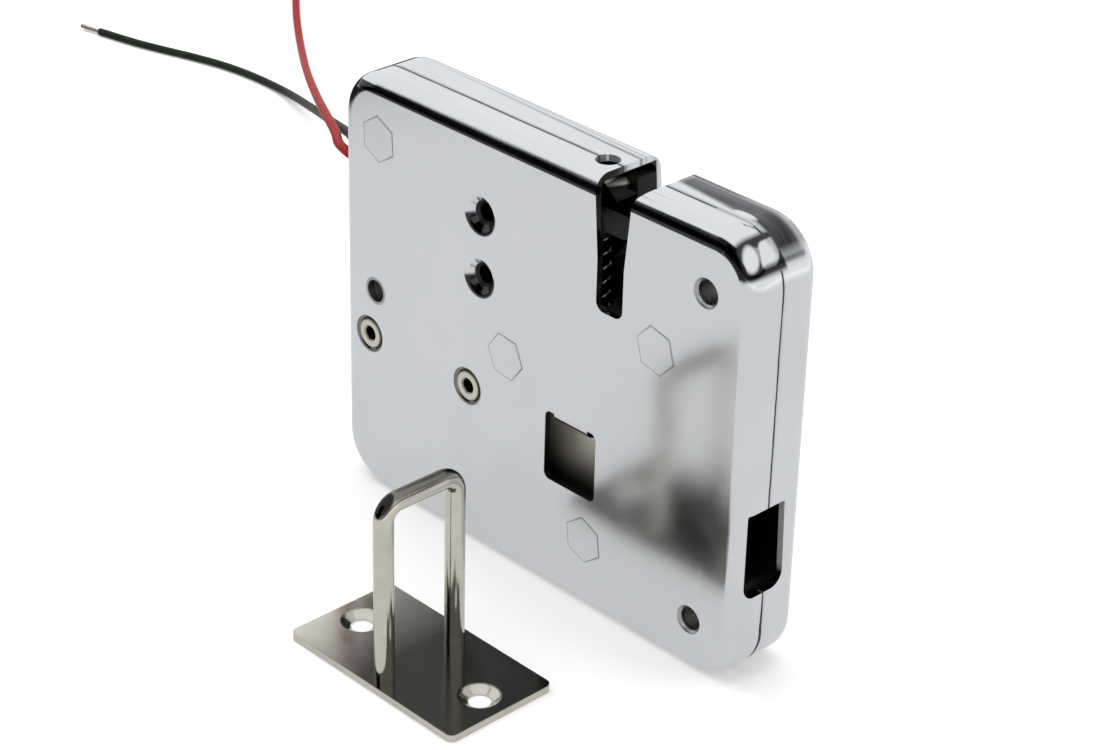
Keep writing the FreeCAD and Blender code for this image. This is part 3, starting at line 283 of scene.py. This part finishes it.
# Joined copies of the curved bright pieces
JOINED = (
    "front_shell",
    "rear_shell",
    "hex_posts",
    "rivets",
    "hook",
    "ejector_spring",
    "striker_plate",
    "striker_loop",
)
MERGE_WITHIN = 0.0005 * MM
LEAST_FACET = 0.0001 * MM
FLAT_WITHIN = math.radians(0.1)
SHARP_FROM = math.radians(32.0)
LOOP_LEGS = [(7.0 * MM, -38.9 * MM), (7.0 * MM, -26.3 * MM)]
WELD_TOP = 2.3 * MM
WELD_RADIUS = 1.43 * MM


def slim_welds(mesh):
    """Draws the weld beads at the loop's feet in to a thin line round each leg."""
    for vertex in mesh.verts:
        if vertex.co.z > WELD_TOP:
            continue
        axes = [Vector((*leg, vertex.co.z)) for leg in LOOP_LEGS]
        axis = min(axes, key=lambda place: (vertex.co - place).length)
        away = vertex.co - axis
        if away.length > WELD_RADIUS:
            vertex.co = axis + away.normalized() * WELD_RADIUS


def joined(node):
    """Copy of a CAD node with its facets joined and shaded round, hard edges kept."""
    mesh = bmesh.new()
    mesh.from_mesh(bpy.data.objects[node].data)
    if node == "striker_loop":
        slim_welds(mesh)
    bmesh.ops.remove_doubles(mesh, verts=mesh.verts, dist=MERGE_WITHIN)
    bmesh.ops.dissolve_degenerate(mesh, edges=mesh.edges, dist=LEAST_FACET)
    bmesh.ops.dissolve_limit(mesh, angle_limit=FLAT_WITHIN, verts=mesh.verts, edges=mesh.edges)
    bmesh.ops.recalc_face_normals(mesh, faces=mesh.faces)
    data = bpy.data.meshes.new(node + "_surface")
    mesh.to_mesh(data)
    mesh.free()
    for face in data.polygons:
        face.use_smooth = True
    data.set_sharp_from_angle(angle=SHARP_FROM)
    made = bpy.data.objects.new(node + "_surface", data)
    bpy.context.collection.objects.link(made)
    even = made.modifiers.new("even_normals", "WEIGHTED_NORMAL")
    even.keep_sharp = True
    even.weight = 80
    return made


def body_of(node):
    """Body of the record that carries a node."""
    for body, nodes in frame["record"]["behaviour"]["bodies"].items():
        if node in nodes:
            return body
    raise ValueError(node)


def resurface(node, finish):
    """Shows a node by its joined copy."""
    made = joined(node)
    made.data.materials.append(finish)
    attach(made, body_of(node))
    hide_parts(node)
    if node == "ejector_spring":
        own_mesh(made)


# Places on the lock, in millimetres
HALF_WIDTH = 40.0
HALF_DEPTH = 6.1
TOP = 66.0
SHEET = 1.0
CORNER = 7.5  # rounding of the case's corners, seen from the front
EDGE = 2.45  # rounding of the fold between a face and the narrow sides
SEAM_Y = -1.04
FRONT_END = -2.5  # the front face's own marks reach no further back
MOUTH_X = 14.5
MOUTH_FOOT = (12.3, 47.4)  # lower left corner
WINDOW = (3.0, 17.4, 12.9, 28.1)  # left, bottom, right, top
TONGUE_X = 31.3
TONGUE_HALF = 3.1
TOP_HOLE = (8.4, 1.75)  # middle, radius
SIDE_EDGE = (1.5, 17.0, 3.0, 30.0)  # rear edge of the side opening: front, bottom, rear, top
POSTS = [  # middle, and turn in degrees
    (-31.9, 56.75, 3.2),
    (-5.25, 32.9, 23.4),
    (23.15, 45.3, 16.3),
    (11.05, 10.7, 6.7),
]
POST_FLATS = 6.0
POST_GAP = 0.03
MOUNT_HOLES = [(31.5, 56.9), (31.5, 7.6), (-32.7, 32.6)]
CHAMFER_RADIUS = 2.05
SWITCH_HOLES = [(-10.75, 52.66), (-10.75, 43.16)]
CUP_RADIUS = 3.0
CUP_RING = (1.5, 1.75)
RIVETS = [(-34.1, 25.1), (-12.95, 25.1)]
RIVET_BORE = (1.05, 1.35)
RIVET_RIM = (2.15, 2.8)

# Tones, dark and light
PLATE = (0.71, 0.73, 0.75), (0.75, 0.765, 0.79)
ZINC = (0.5, 0.5, 0.49), (0.62, 0.62, 0.6)
PALE_NICKEL = (0.66, 0.64, 0.53), (0.74, 0.72, 0.6)
OLD_NICKEL = (0.44, 0.41, 0.35), (0.54, 0.51, 0.45)
HOOK_NICKEL = (0.74, 0.71, 0.6), (0.84, 0.81, 0.7)
PAWL_NICKEL = (0.7, 0.67, 0.55), (0.8, 0.76, 0.63)
STRIKER_NICKEL = (0.58, 0.56, 0.48), (0.66, 0.64, 0.56)
SPRING_STEEL = (0.5, 0.5, 0.48), (0.6, 0.6, 0.58)
# Spring steel toned darker as painted shade, for the spring inside the mouth
SHADED_SPRING_STEEL = (0.24, 0.24, 0.22), (0.32, 0.32, 0.3)
BRASS = (0.6, 0.45, 0.2), (0.7, 0.54, 0.28)
COPPER = (0.55, 0.22, 0.1), (0.66, 0.3, 0.15)
TINNED = (0.55, 0.5, 0.44), (0.68, 0.64, 0.6)
BLACK_PLASTIC = (0.008, 0.008, 0.009), (0.014, 0.014, 0.014)
RED_LEAD = (0.22, 0.008, 0.006), (0.3, 0.012, 0.01)
BLACK_LEAD = (0.01, 0.014, 0.01), (0.017, 0.022, 0.016)

# Painted shades and reflections, the dark of the joints and the pale of cut steel
ROOM = (0.025, 0.025, 0.035)
CUP_BLACK = (0.02, 0.02, 0.022)
JOINT_BLACK = (0.012, 0.012, 0.014)
JOINT_SHADE_GREY = (0.06, 0.06, 0.07)
RIM_GREY = (0.07, 0.068, 0.06)
LINE_GREY = (0.1, 0.1, 0.1)
INSIDE_SHADE = (0.035, 0.035, 0.036)
SHEARED_STEEL = (0.55, 0.56, 0.57)
SHADOW_AND_REFLECTION_DARK = (0.012, 0.012, 0.012)


# Painted marks on the trays, each 1 where it is and 0 elsewhere
def post_outlines(finish, x, z):
    """Thin shadow in the joint round each pressed-in post, deepest on its right and upper sides."""
    line = 0.0
    for post_x, post_z, turn in POSTS:
        across = x - post_x
        up = z - post_z
        flats = []
        for side in range(3):
            angle = math.radians(turn + 60.0 * side)
            flats.append(abs(across * math.cos(angle) + up * math.sin(angle)))
        near = finish.below(abs(most(*flats) - POST_FLATS / 2 - POST_GAP), 0.04, 0.26)
        depth = finish.range(across * 0.85 + up * 0.5, -1.5, 2.4, 0.06, 0.5)
        line = near * depth + line
    return line


def tray_joint(finish, x, y, z):
    """Line over the joint of the two trays: it wanders, and gapes towards the bottom corner."""
    wander = finish.noise(150.0, stretch=(1.0, 0.0, 1.0)) - 0.5
    low = finish.below(z, 8.0, 12.5)
    line = SEAM_Y + wander * 0.25 + low * wander * 0.5
    half_gap = finish.noise(260.0, 1.0, stretch=(1.0, 0.0, 1.0)) * 0.12 + 0.04 + low * 0.1
    joint = finish.below(abs(y - line) - half_gap, 0.0, 0.09)
    on_tongue = finish.below(abs(x - TONGUE_X), TONGUE_HALF, TONGUE_HALF + 0.3)
    on_tongue = on_tongue * finish.range(z, TOP - 6.0, TOP - 5.0)
    on_corner = finish.range(x, 35.5, 36.5) * finish.within(z, 61.8, 64.8, 0.6)
    return joint * (1.0 - on_tongue) * (1.0 - on_corner)


def shade_inside_and_cuts(finish, x, y, z, front):
    """Painted shade on the inside of the sheet, on the edges of the window and in the lower left
    corner of the mouth.
    """
    out_x = (abs(x) - (HALF_WIDTH - CORNER)).math("MAXIMUM", 0.0)
    out_z = (abs(z - TOP / 2) - (TOP / 2 - CORNER)).math("MAXIMUM", 0.0)
    wall = CORNER - SHEET
    face = HALF_DEPTH - SHEET
    inside = finish.below(distance(out_x, out_z), wall + 0.05, wall + 0.15)
    inside = inside * finish.below(abs(y), face + 0.05, face + 0.15)
    left, bottom, right, high = WINDOW
    window = finish.within(x, left, right, 0.05) * finish.within(z, bottom, high, 0.05)
    window = window * finish.range(y, -HALF_DEPTH + 0.05, -HALF_DEPTH + 0.12)
    foot_x, foot_z = MOUTH_FOOT
    foot = finish.blot(x - foot_x, z - foot_z, 1.0, 1.0)
    foot = foot * finish.range(y, -HALF_DEPTH + 0.02, -HALF_DEPTH + 0.08)
    return most(inside, window * front, foot * front)


def sheared_edges(finish, x, y, z):
    """Pale edge of the side opening and of the top hole."""
    ahead, bottom, rear, high = SIDE_EDGE
    side = finish.within(x, HALF_WIDTH - SHEET + 0.05, HALF_WIDTH - 0.03, 0.02)
    side = side * finish.within(y, ahead, rear, 0.05) * finish.within(z, bottom, high, 1.5)
    middle, radius = TOP_HOLE
    hole = finish.below(distance(x - middle, y - SEAM_Y), radius - 0.01, radius + 0.03)
    hole = hole * finish.within(z, TOP - SHEET - 0.1, TOP - 0.05, 0.02) * 0.6
    return side.math("MAXIMUM", hole)


def mount_chamfers(finish, x, z):
    """Chamfers of the mounting holes: made duller, and painted half grey as shade."""
    chamfers = 0.0
    for hole_x, hole_z in MOUNT_HOLES:
        out = distance(x - hole_x, z - hole_z)
        chamfers = finish.below(out, CHAMFER_RADIUS, CHAMFER_RADIUS + 0.15) + chamfers
    return chamfers


def rivet_rims(finish, x, z):
    """Painted shade: grey ring round each rivet."""
    rims = 0.0
    for rivet_x, rivet_z in RIVETS:
        out = distance(x - rivet_x, z - rivet_z)
        rims = finish.within(out, *RIVET_RIM, 0.15) * 0.8 + rims
    return rims


def cup_shades(finish, x, z):
    """Painted reflection: dark lower half of each switch hole's cup, less dark in a faint ring
    round the hole.
    """
    shades = 0.0
    for cup_x, cup_z in SWITCH_HOLES:
        across = x - cup_x
        above = z - cup_z
        out = distance(across, above)
        lower = finish.below(above - across * 0.25, -0.1, 0.35)
        cup = finish.below(out, CUP_RADIUS, CUP_RADIUS + 0.2)
        ring = finish.within(out, *CUP_RING, 0.15) * 0.25
        shades = cup * lower * (0.96 - ring) + shades
    return shades


# Painted reflections: what the chrome of the folded top edge shows of the dark room in the
# photograph. They don't come from the lights, and stay in place when the lock is turned. Places
# are in degrees round the corner, 90 on the top and 0 at the side, and in millimetres across the
# fold from the front face.
BAND = (-0.1, 1.1)
BAND_START = (60.0, 75.0)
CORNER_BAND = (0.05, 1.4)
CORNER_BAND_TURN = (28.0, 72.0)
PATCH = (0.5, 7.4)
PATCH_TURN = (26.0, 63.0)
MIDDLE_TURN = 45.0
FRONT_SPOT = 2.6
REAR_SPOT = 5.65
BETWEEN_SPOTS = 4.0
TAIL_TURN = (42.0, 65.0)

# Streaks behind the joint, in millimetres, with their slope along the lock
STREAK_X = 21.0
STREAK_Y = 0.9
STREAK_SLOPE = 0.09
STREAK_END = (3.2, 4.8)
ISLAND = (31.7, 0.3)
LINE_X = 5.0
LINE_Y = 2.55
LINE_SLOPE = 0.035
SECOND_LINE = 0.9


def fold_place(x, y, z):
    """Place on the top fold: the turn round the right-hand corner and the way across the fold."""
    right = (x - (HALF_WIDTH - CORNER)).math("MAXIMUM", 0.0)
    up = z - (TOP - CORNER)
    turn = up.math("ARCTAN2", right) * (180.0 / math.pi)
    rim = distance(right, up) - (CORNER - EDGE)
    deep = (y * -1.0 - (HALF_DEPTH - EDGE)).math("MAXIMUM", 0.0)
    behind = (y + (HALF_DEPTH - EDGE)).math("MAXIMUM", 0.0)
    across = rim.math("ARCTAN2", deep) * EDGE + behind
    return turn, across


def front_band(finish, turn, across):
    """Dark band along the front fold and round the corner."""
    straight = finish.within(across, *BAND, 0.12) * 0.97 * finish.range(turn, *BAND_START)
    bent = finish.within(across, *CORNER_BAND, 0.25) * finish.within(turn, *CORNER_BAND_TURN, 4.0)
    return straight.math("MAXIMUM", bent)


def corner_patch(finish, turn, across):
    """Dark patch on the corner round two bright spots."""
    patch = finish.within(turn, *PATCH_TURN, 6.0) * finish.within(across, *PATCH, 0.5) * 0.97
    tilt = turn - MIDDLE_TURN
    front_spot = finish.blot(tilt, across - tilt * 0.03 - FRONT_SPOT, 14.0, 1.1)
    rear_spot = finish.blot(tilt + 1.0, across - tilt * 0.05 - REAR_SPOT, 13.5, 1.62, power=4.0)
    between = finish.blot(tilt, across - BETWEEN_SPOTS, 9.0, 0.6) * 0.45
    return patch * (1.0 - most(front_spot, rear_spot, between))


def right_streak(finish, x, y, turn, grain):
    """Streak behind the joint to the right of the mouth, with a bright island and a faint tail."""
    start = STREAK_Y - (x - STREAK_X) * STREAK_SLOPE
    rise = finish.range(y - start + grain * 0.6, -0.3, 0.5)
    fall = finish.below(y, *STREAK_END)
    tail = finish.within(turn, *TAIL_TURN, 12.0) * 0.5
    streak = rise * fall.math("MAXIMUM", tail) * finish.range(turn, 22.0, 45.0, 0.0, 0.94)
    island = finish.blot(x - ISLAND[0], y - ISLAND[1], 1.9, 0.55)
    streak = streak * (1.0 - island) * (1.0 + grain * 0.4)
    return streak * finish.range(x, MOUTH_X + 3.0, MOUTH_X + 5.5)


def left_lines(finish, x, y, grain):
    """Two thin lines behind the joint to the left of the mouth, and a shade at the rear fold."""
    line_y = LINE_Y - (x - LINE_X) * LINE_SLOPE
    first = finish.below(abs(y - line_y + grain * 0.3), 0.1, 0.4)
    first = first * finish.range(x, -28.0, LINE_X, 0.1, 0.6)
    second = finish.below(abs(y - line_y - SECOND_LINE), 0.05, 0.25) * 0.3
    rear = finish.range(y, 4.4, 5.0) * 0.2
    return most(first, second, rear) * finish.below(x, MOUTH_X - 1.0, MOUTH_X)


def top_streaks(finish, x, y, z):
    """All shades of the top fold, which end before the back and down the narrow side."""
    turn, across = fold_place(x, y, z)
    grain = finish.noise(700.0, stretch=(0.12, 1.0, 0.12)) - 0.5
    shade = most(
        front_band(finish, turn, across),
        corner_patch(finish, turn, across),
        right_streak(finish, x, y, turn, grain),
        left_lines(finish, x, y, grain),
    )
    shade = (shade * finish.below(y, 5.3, 5.8)).clamped()
    return shade * finish.range(z, TOP - 9.0, TOP - 8.0) * finish.range(turn, 8.0, 20.0)


# Finishes
CROWN = 0.015  # fall of the rear tray's edge, by the square of the distance behind the joint


def plate_tone(finish):
    """Chrome's cloudy tone and the cloud itself."""
    smear = finish.noise(90.0, 3.0)
    return finish.blend(finish.range(smear, 0.35, 0.65), *PLATE), smear


def fine_waves(finish, normal=None):
    """Faint orange-peel waves of plated sheet."""
    return finish.bump(finish.noise(900.0), 0.00001, 0.3, normal)


def chrome(name):
    """Bright chrome plate: slightly wavy, faintly smeared."""
    finish = Finish(name)
    x, y, z = finish.place()
    colour, smear = plate_tone(finish)
    return finish.principled(
        Base_Color=finish.blend(post_outlines(finish, x, z), colour, LINE_GREY),
        Roughness=finish.range(smear, 0.35, 0.7, 0.2, 0.26),
        Metallic=1.0,
        Normal=fine_waves(finish),
    )


def tray_relief(finish, x, y, z):
    """The rear tray's edge falls away a little behind the joint; the whole sheet is wavy."""
    behind = (y - SEAM_Y).math("MAXIMUM", 0.0)
    crown = behind * behind * -CROWN * finish.range(z, TOP - 1.5, TOP - 0.5)
    crown = crown * finish.range(x, MOUTH_X + 1.5, MOUTH_X + 3.5)
    relief = finish.bump(crown, MM)
    relief = finish.bump(finish.noise(55.0, 1.0), 0.0003, 0.35, relief)
    return fine_waves(finish, relief)


def tray_chrome(name):
    """Chrome plate of the two trays, with their painted marks and reflections."""
    finish = Finish(name)
    x, y, z = finish.place()
    front = finish.below(y, FRONT_END - 0.5, FRONT_END)
    flat = finish.below(y, -HALF_DEPTH + 0.05, -HALF_DEPTH + 0.3)
    joint = tray_joint(finish, x, y, z)
    inner_shade = shade_inside_and_cuts(finish, x, y, z, front)
    sheared = sheared_edges(finish, x, y, z)
    chamfers = mount_chamfers(finish, x, z)
    on_top = finish.range(z, TOP - 2.0, TOP - 1.0, 0.15, 0.45)
    # Painted shade along both sides of the joint, faint on the faces and deeper on the top
    shade_beside_joint = finish.below(abs(y - SEAM_Y - 0.1), 0.1, 0.6) * on_top

    colour, smear = plate_tone(finish)
    for mark, tone in (
        (rivet_rims(finish, x, z) * front, RIM_GREY),
        (cup_shades(finish, x, z) * front, CUP_BLACK),
        (chamfers * 0.5, LINE_GREY),
        (post_outlines(finish, x, z) * flat, LINE_GREY),
        (top_streaks(finish, x, y, z), ROOM),
        (inner_shade, INSIDE_SHADE),
        (sheared, SHEARED_STEEL),
        (shade_beside_joint, JOINT_SHADE_GREY),
        (joint, JOINT_BLACK),
    ):
        colour = finish.blend(mark, colour, tone)
    polish = finish.range(smear, 0.35, 0.7, 0.1, 0.16)
    return finish.principled(
        Base_Color=colour,
        Roughness=polish + chamfers * 0.2 + flat * 0.055 + inner_shade * 0.3 + joint * 0.5,
        Metallic=1.0 - joint * 0.8 - sheared * 0.8,
        Normal=tray_relief(finish, x, y, z),
    )


def satin_metal(name, tones, rough, shade=None, metallic=1.0):
    """Metal with a soft grain and patches of tone, painted darker where a shade says so."""
    finish = Finish(name)
    cloud = finish.noise(300.0, 3.0)
    colour = finish.blend(finish.range(cloud, 0.3, 0.7), *tones)
    if shade is not None:
        colour = finish.blend(shade(finish), colour, SHADOW_AND_REFLECTION_DARK)
    return finish.principled(
        Base_Color=colour,
        Roughness=finish.range(cloud, 0.3, 0.7, rough, rough * 1.4),
        Metallic=metallic,
        Normal=finish.bump(finish.noise(6000.0), 0.00001, 0.5),
    )


def plastic(name, tones, rough):
    """Moulded plastic with a fine eroded grain."""
    finish = Finish(name)
    cloud = finish.noise(300.0, 3.0)
    return finish.principled(
        Base_Color=finish.blend(finish.range(cloud, 0.3, 0.7), *tones),
        Roughness=finish.range(cloud, 0.3, 0.7, rough, rough + 0.12),
        Normal=finish.bump(finish.noise(7000.0, 3.0), 0.00002, 0.5),
        Specular_IOR_Level=0.2,
    )


def insulation(name, tones):
    """Satin plastic insulation with faint scuffs."""
    finish = Finish(name)
    cloud = finish.noise(400.0, 3.0)
    return finish.principled(
        Base_Color=finish.blend(finish.range(cloud, 0.3, 0.7), *tones),
        Roughness=finish.range(cloud, 0.3, 0.7, 0.4, 0.5),
        Normal=finish.bump(finish.noise(5000.0), 0.00002, 0.4),
        IOR=1.45,
        Specular_IOR_Level=0.12,
    )


# Painted dark of the satin metals: shadow and reflections of the dark room, put where the
# photograph shows them. They stay in place when a piece is turned.
def below_lip(finish):
    """Painted shade on the hook, all but its finger's bright slope, and less of it on the hook's
    top seen through the top hole.
    """
    x, y, z = finish.place()
    slope = finish.range(x, 9.4, 9.7) * finish.range(z + y * 0.12, 62.65, 62.9)
    under_hole = finish.range(z, 63.0, 63.2) * 0.35
    return 1.0 - slope.math("MAXIMUM", under_hole)


def behind_window(finish):
    """Painted shade on the pawl's plate, deeper downwards and at its right edge."""
    x, y, z = finish.place()
    left, bottom, right, high = WINDOW
    shade_downwards = finish.range(z, bottom - 1.5, high - 3.0, 0.96, 0.0)
    return shade_downwards.math("MAXIMUM", finish.range(x, right - 2.5, right, 0.0, 0.6))


def rivet_rings(finish):
    """Dark in a rivet's bore and round its rolled rim."""
    x, y, z = finish.place()
    shade = 0.0
    for rivet_x, rivet_z in RIVETS:
        out = distance(x - rivet_x, z - rivet_z)
        bore = finish.range(out, *RIVET_BORE, 0.7, 0.0)
        rim = finish.range(out, 1.95, 2.25, 0.0, 0.75) * finish.below(out, 3.0, 4.0)
        shade = bore + rim + shade
    return shade


def dark_end(finish):
    """Dark on the striker's plate, deeper towards its right-hand end."""
    x, y, z = finish.place()
    return finish.range(x, -9.0, 5.0, 0.0, 0.85) * finish.range(z, 1.0, 1.15)


def dark_bends(finish):
    """Dark on the loop's top bar and its two bends."""
    x, y, z = finish.place()
    grain = finish.noise(900.0, stretch=(1.0, 0.15, 1.0)) - 0.5
    bar = finish.range(z + grain, 27.7, 28.4, 0.0, 0.7)
    front = finish.range(z * 0.75 - y * 0.66, 45.95, 46.3, 0.0, 0.97)
    rear = finish.range(z * 0.75 + y * 0.66, 3.05, 3.4, 0.0, 0.9)
    return most(bar, front, rear).clamped()


def seen_coils(finish):
    """Dark on the spring, all but the coils' bright outer side towards the mouth."""
    return finish.below(finish.place()[0], 11.5, 12.0)


def finishes():
    """Every finish of the lock, by the record's slot or by its own name."""
    made = {
        "chrome_tray": tray_chrome("chrome_tray"),
        "chrome_post": chrome("chrome_post"),
        "black_plastic": plastic("black_plastic", BLACK_PLASTIC, 0.45),
        "red_insulation": insulation("red_insulation", RED_LEAD),
        "black_insulation": insulation("black_insulation", BLACK_LEAD),
        "pawl_nickel": satin_metal("pawl_nickel", PAWL_NICKEL, 0.35, behind_window, metallic=0.4),
    }
    for name, tones, rough, shade in (
        ("zinc_steel", ZINC, 0.3, None),
        ("rivet_nickel", PALE_NICKEL, 0.3, rivet_rings),
        ("nickel_steel", OLD_NICKEL, 0.25, None),
        ("hook_nickel", HOOK_NICKEL, 0.25, below_lip),
        ("spring_steel", SPRING_STEEL, 0.25, None),
        # darker tone and seen_coils: painted shade on the spring in the mouth
        ("mouth_spring", SHADED_SPRING_STEEL, 0.25, seen_coils),
        ("brass_tube", BRASS, 0.25, None),
        ("copper_winding", COPPER, 0.3, None),
        ("tinned_copper", TINNED, 0.25, None),
        ("striker_nickel", STRIKER_NICKEL, 0.1, None),
        ("striker_loop", STRIKER_NICKEL, 0.1, dark_bends),
        ("striker_plate", STRIKER_NICKEL, 0.1, dark_end),
    ):
        made[name] = satin_metal(name, tones, rough, shade)
    return made


# Nodes with a finish of their own; every other node has the finish of its slot
OWN_FINISH = {
    "hook": "hook_nickel",
    "pawl": "pawl_nickel",
    "ejector_spring": "mouth_spring",
    "striker_plate": "striker_plate",
    "striker_loop": "striker_loop",
}


def dress(made):
    """Gives each CAD node its finish, the curved bright ones by a joined copy."""
    for row in frame["record"]["subparts"]:
        node = row["node"]
        slot = row["material_slot"]
        finish = made[OWN_FINISH.get(node, slot)]
        if node in ("red_wire", "black_wire"):
            continue
        if node in JOINED:
            resurface(node, finish)
            continue
        for place in bpy.data.objects[node].material_slots:
            place.material = finish


# Light tent. Its paper ends to the left at a slanting edge, and its dark places show in mirrors
# only. Lamps: name, place, width, height, watts.
WHITE = (1.0, 1.0, 1.0)
TABLE_SIZE = 1.5
PAPER = (0.8, 0.8, 0.8)
PAPER_IN_MIRROR = (0.2, 0.2, 0.2)
PAPER_EDGE = (0.966, 0.26)
PAPER_END = -0.19
PAPER_SOFT = 0.03
TABLE_DARK = (0.012, 0.012, 0.014)
FLOOR_GLOW = 0.2
FAR_GLOW = 0.4
FAR_FROM = 250.0
FAR_TO = 600.0
MIRROR_GLOW = 0.35
OPENING = (-0.375, -0.927, 0.0)  # direction of the tent's open front
OPENING_LEFT = -0.46
OPENING_RIGHT = 0.4
OPENING_TOP = (1.0, 1.1)
OPENING_SLANT = 0.3
OPENING_FOOT = (-0.36, -0.28)
OPENING_EDGE = 0.05
HEM = (-0.346, -0.093, 0.934)  # direction square to the tent's slanting hem
HEM_HALF = (0.03, 0.11)
HEM_REAR = (0.6, 0.85)
TENT_DARK = (0.01, 0.01, 0.014)
TENT_WHITE = (0.98, 0.985, 0.99)
SOFT_LIGHT = 0.55
LAMPS = [
    ("top_lamp", (-0.1, 0.05, 0.7), 0.8, 0.8, 4.0),
    ("left_lamp", (-0.6, -0.1, 0.4), 0.5, 0.6, 1.6),
    ("right_lamp", (0.5, 0.35, 0.35), 0.4, 0.5, 1.2),
]


def floor():
    """Pale floor that keeps the object's shadow and looks white in mirrors and far away."""
    mesh = bmesh.new()
    bmesh.ops.create_grid(mesh, x_segments=4, y_segments=4, size=TABLE_SIZE)
    data = bpy.data.meshes.new("floor")
    mesh.to_mesh(data)
    mesh.free()
    made = bpy.data.objects.new("floor", data)
    bpy.context.collection.objects.link(made)
    finish = Finish("floor")
    path = finish.node("LightPath")
    mirror = Value(path.outputs["Is Glossy Ray"])
    camera_ray = Value(path.outputs["Is Camera Ray"])
    seen = most(camera_ray, mirror, Value(path.outputs["Is Transmission Ray"]))
    paper = finish.node("BsdfDiffuse", Color=finish.blend(mirror, PAPER, PAPER_IN_MIRROR))
    x, y, z = finish.place()
    far = finish.range(distance(x, y), FAR_FROM, FAR_TO, 0.0, FAR_GLOW)
    strength = seen * (far + FLOOR_GLOW) + mirror * MIRROR_GLOW
    glow = finish.node("Emission", Color=WHITE, Strength=strength)
    both = finish.node("AddShader")
    finish.feed(both.inputs[0], paper.outputs[0])
    finish.feed(both.inputs[1], glow.outputs[0])
    along = (x * PAPER_EDGE[0] + y * PAPER_EDGE[1]) * MM
    beyond = finish.below(along, PAPER_END - PAPER_SOFT, PAPER_END + PAPER_SOFT)
    dark = finish.node("Emission", Color=TABLE_DARK, Strength=1.0)
    ground = finish.node("MixShader")
    finish.feed(ground.inputs[0], beyond * mirror)
    finish.feed(ground.inputs[1], both.outputs[0])
    finish.feed(ground.inputs[2], dark.outputs[0])
    finish.node("OutputMaterial", Surface=ground.outputs[0])
    data.materials.append(finish.material)


def lamp(name, place, width, height, power):
    """Soft rectangular lamp that looks at the middle of the table, not seen in mirrors."""
    data = bpy.data.lights.new(name, "AREA")
    data.shape = "RECTANGLE"
    data.size = width
    data.size_y = height
    data.energy = power
    made = bpy.data.objects.new(name, data)
    made.location = place
    made.rotation_mode = "QUATERNION"
    made.rotation_quaternion = (-Vector(place)).to_track_quat("-Z", "Y")
    made.visible_glossy = False
    bpy.context.collection.objects.link(made)


def tent():
    """World light: white to the camera; to mirrors a tent with a dark hem and an open front."""
    world = bpy.data.worlds.new("tent")
    bpy.context.scene.world = world
    world.use_nodes = True
    finish = Finish("tent", world.node_tree)
    path = finish.node("LightPath")
    direction = finish.node("TexCoord").outputs["Generated"]
    parts = finish.node("SeparateXYZ", Vector=direction).outputs
    x, y, z = (Value(part) for part in parts)

    def towards(way):
        """Cosine of the angle to a direction."""
        return x * way[0] + y * way[1] + z * way[2]

    # place in the open front, measured from its middle sideways and up from the ground
    forward = towards(OPENING).math("MAXIMUM", 0.01)
    sideways = (x * -OPENING[1] + y * OPENING[0]).math("DIVIDE", forward)
    high = z.math("DIVIDE", forward)
    opening = finish.within(sideways, OPENING_LEFT, OPENING_RIGHT, OPENING_EDGE)
    opening = opening * finish.below(high - sideways * OPENING_SLANT, *OPENING_TOP)
    opening = opening * finish.range(high, *OPENING_FOOT)
    hem = finish.below(abs(towards(HEM)), *HEM_HALF) * finish.below(y, *HEM_REAR)
    light = (1.0 - opening) * (1.0 - hem)
    mirror = finish.blend(light, TENT_DARK, TENT_WHITE)
    soft = finish.node("Background", Color=WHITE, Strength=SOFT_LIGHT)
    white = finish.node("Background", Color=WHITE, Strength=1.0)
    shown = finish.node("Background", Color=mirror, Strength=1.0)
    first = finish.node("MixShader", Fac=path.outputs["Is Glossy Ray"])
    finish.feed(first.inputs[1], soft.outputs[0])
    finish.feed(first.inputs[2], shown.outputs[0])
    second = finish.node("MixShader", Fac=path.outputs["Is Camera Ray"])
    finish.feed(second.inputs[1], first.outputs[0])
    finish.feed(second.inputs[2], white.outputs[0])
    finish.node("OutputWorld", Surface=second.outputs[0])


camera()
finish_of = finishes()
lead("black_wire", BLACK_ROUTE, finish_of["black_insulation"])
lead("red_wire", RED_ROUTE, finish_of["red_insulation"])
dress(finish_of)
floor()
tent()
for lamp_row in LAMPS:
    lamp(*lamp_row)
bpy.context.scene.view_settings.view_transform = "Standard"
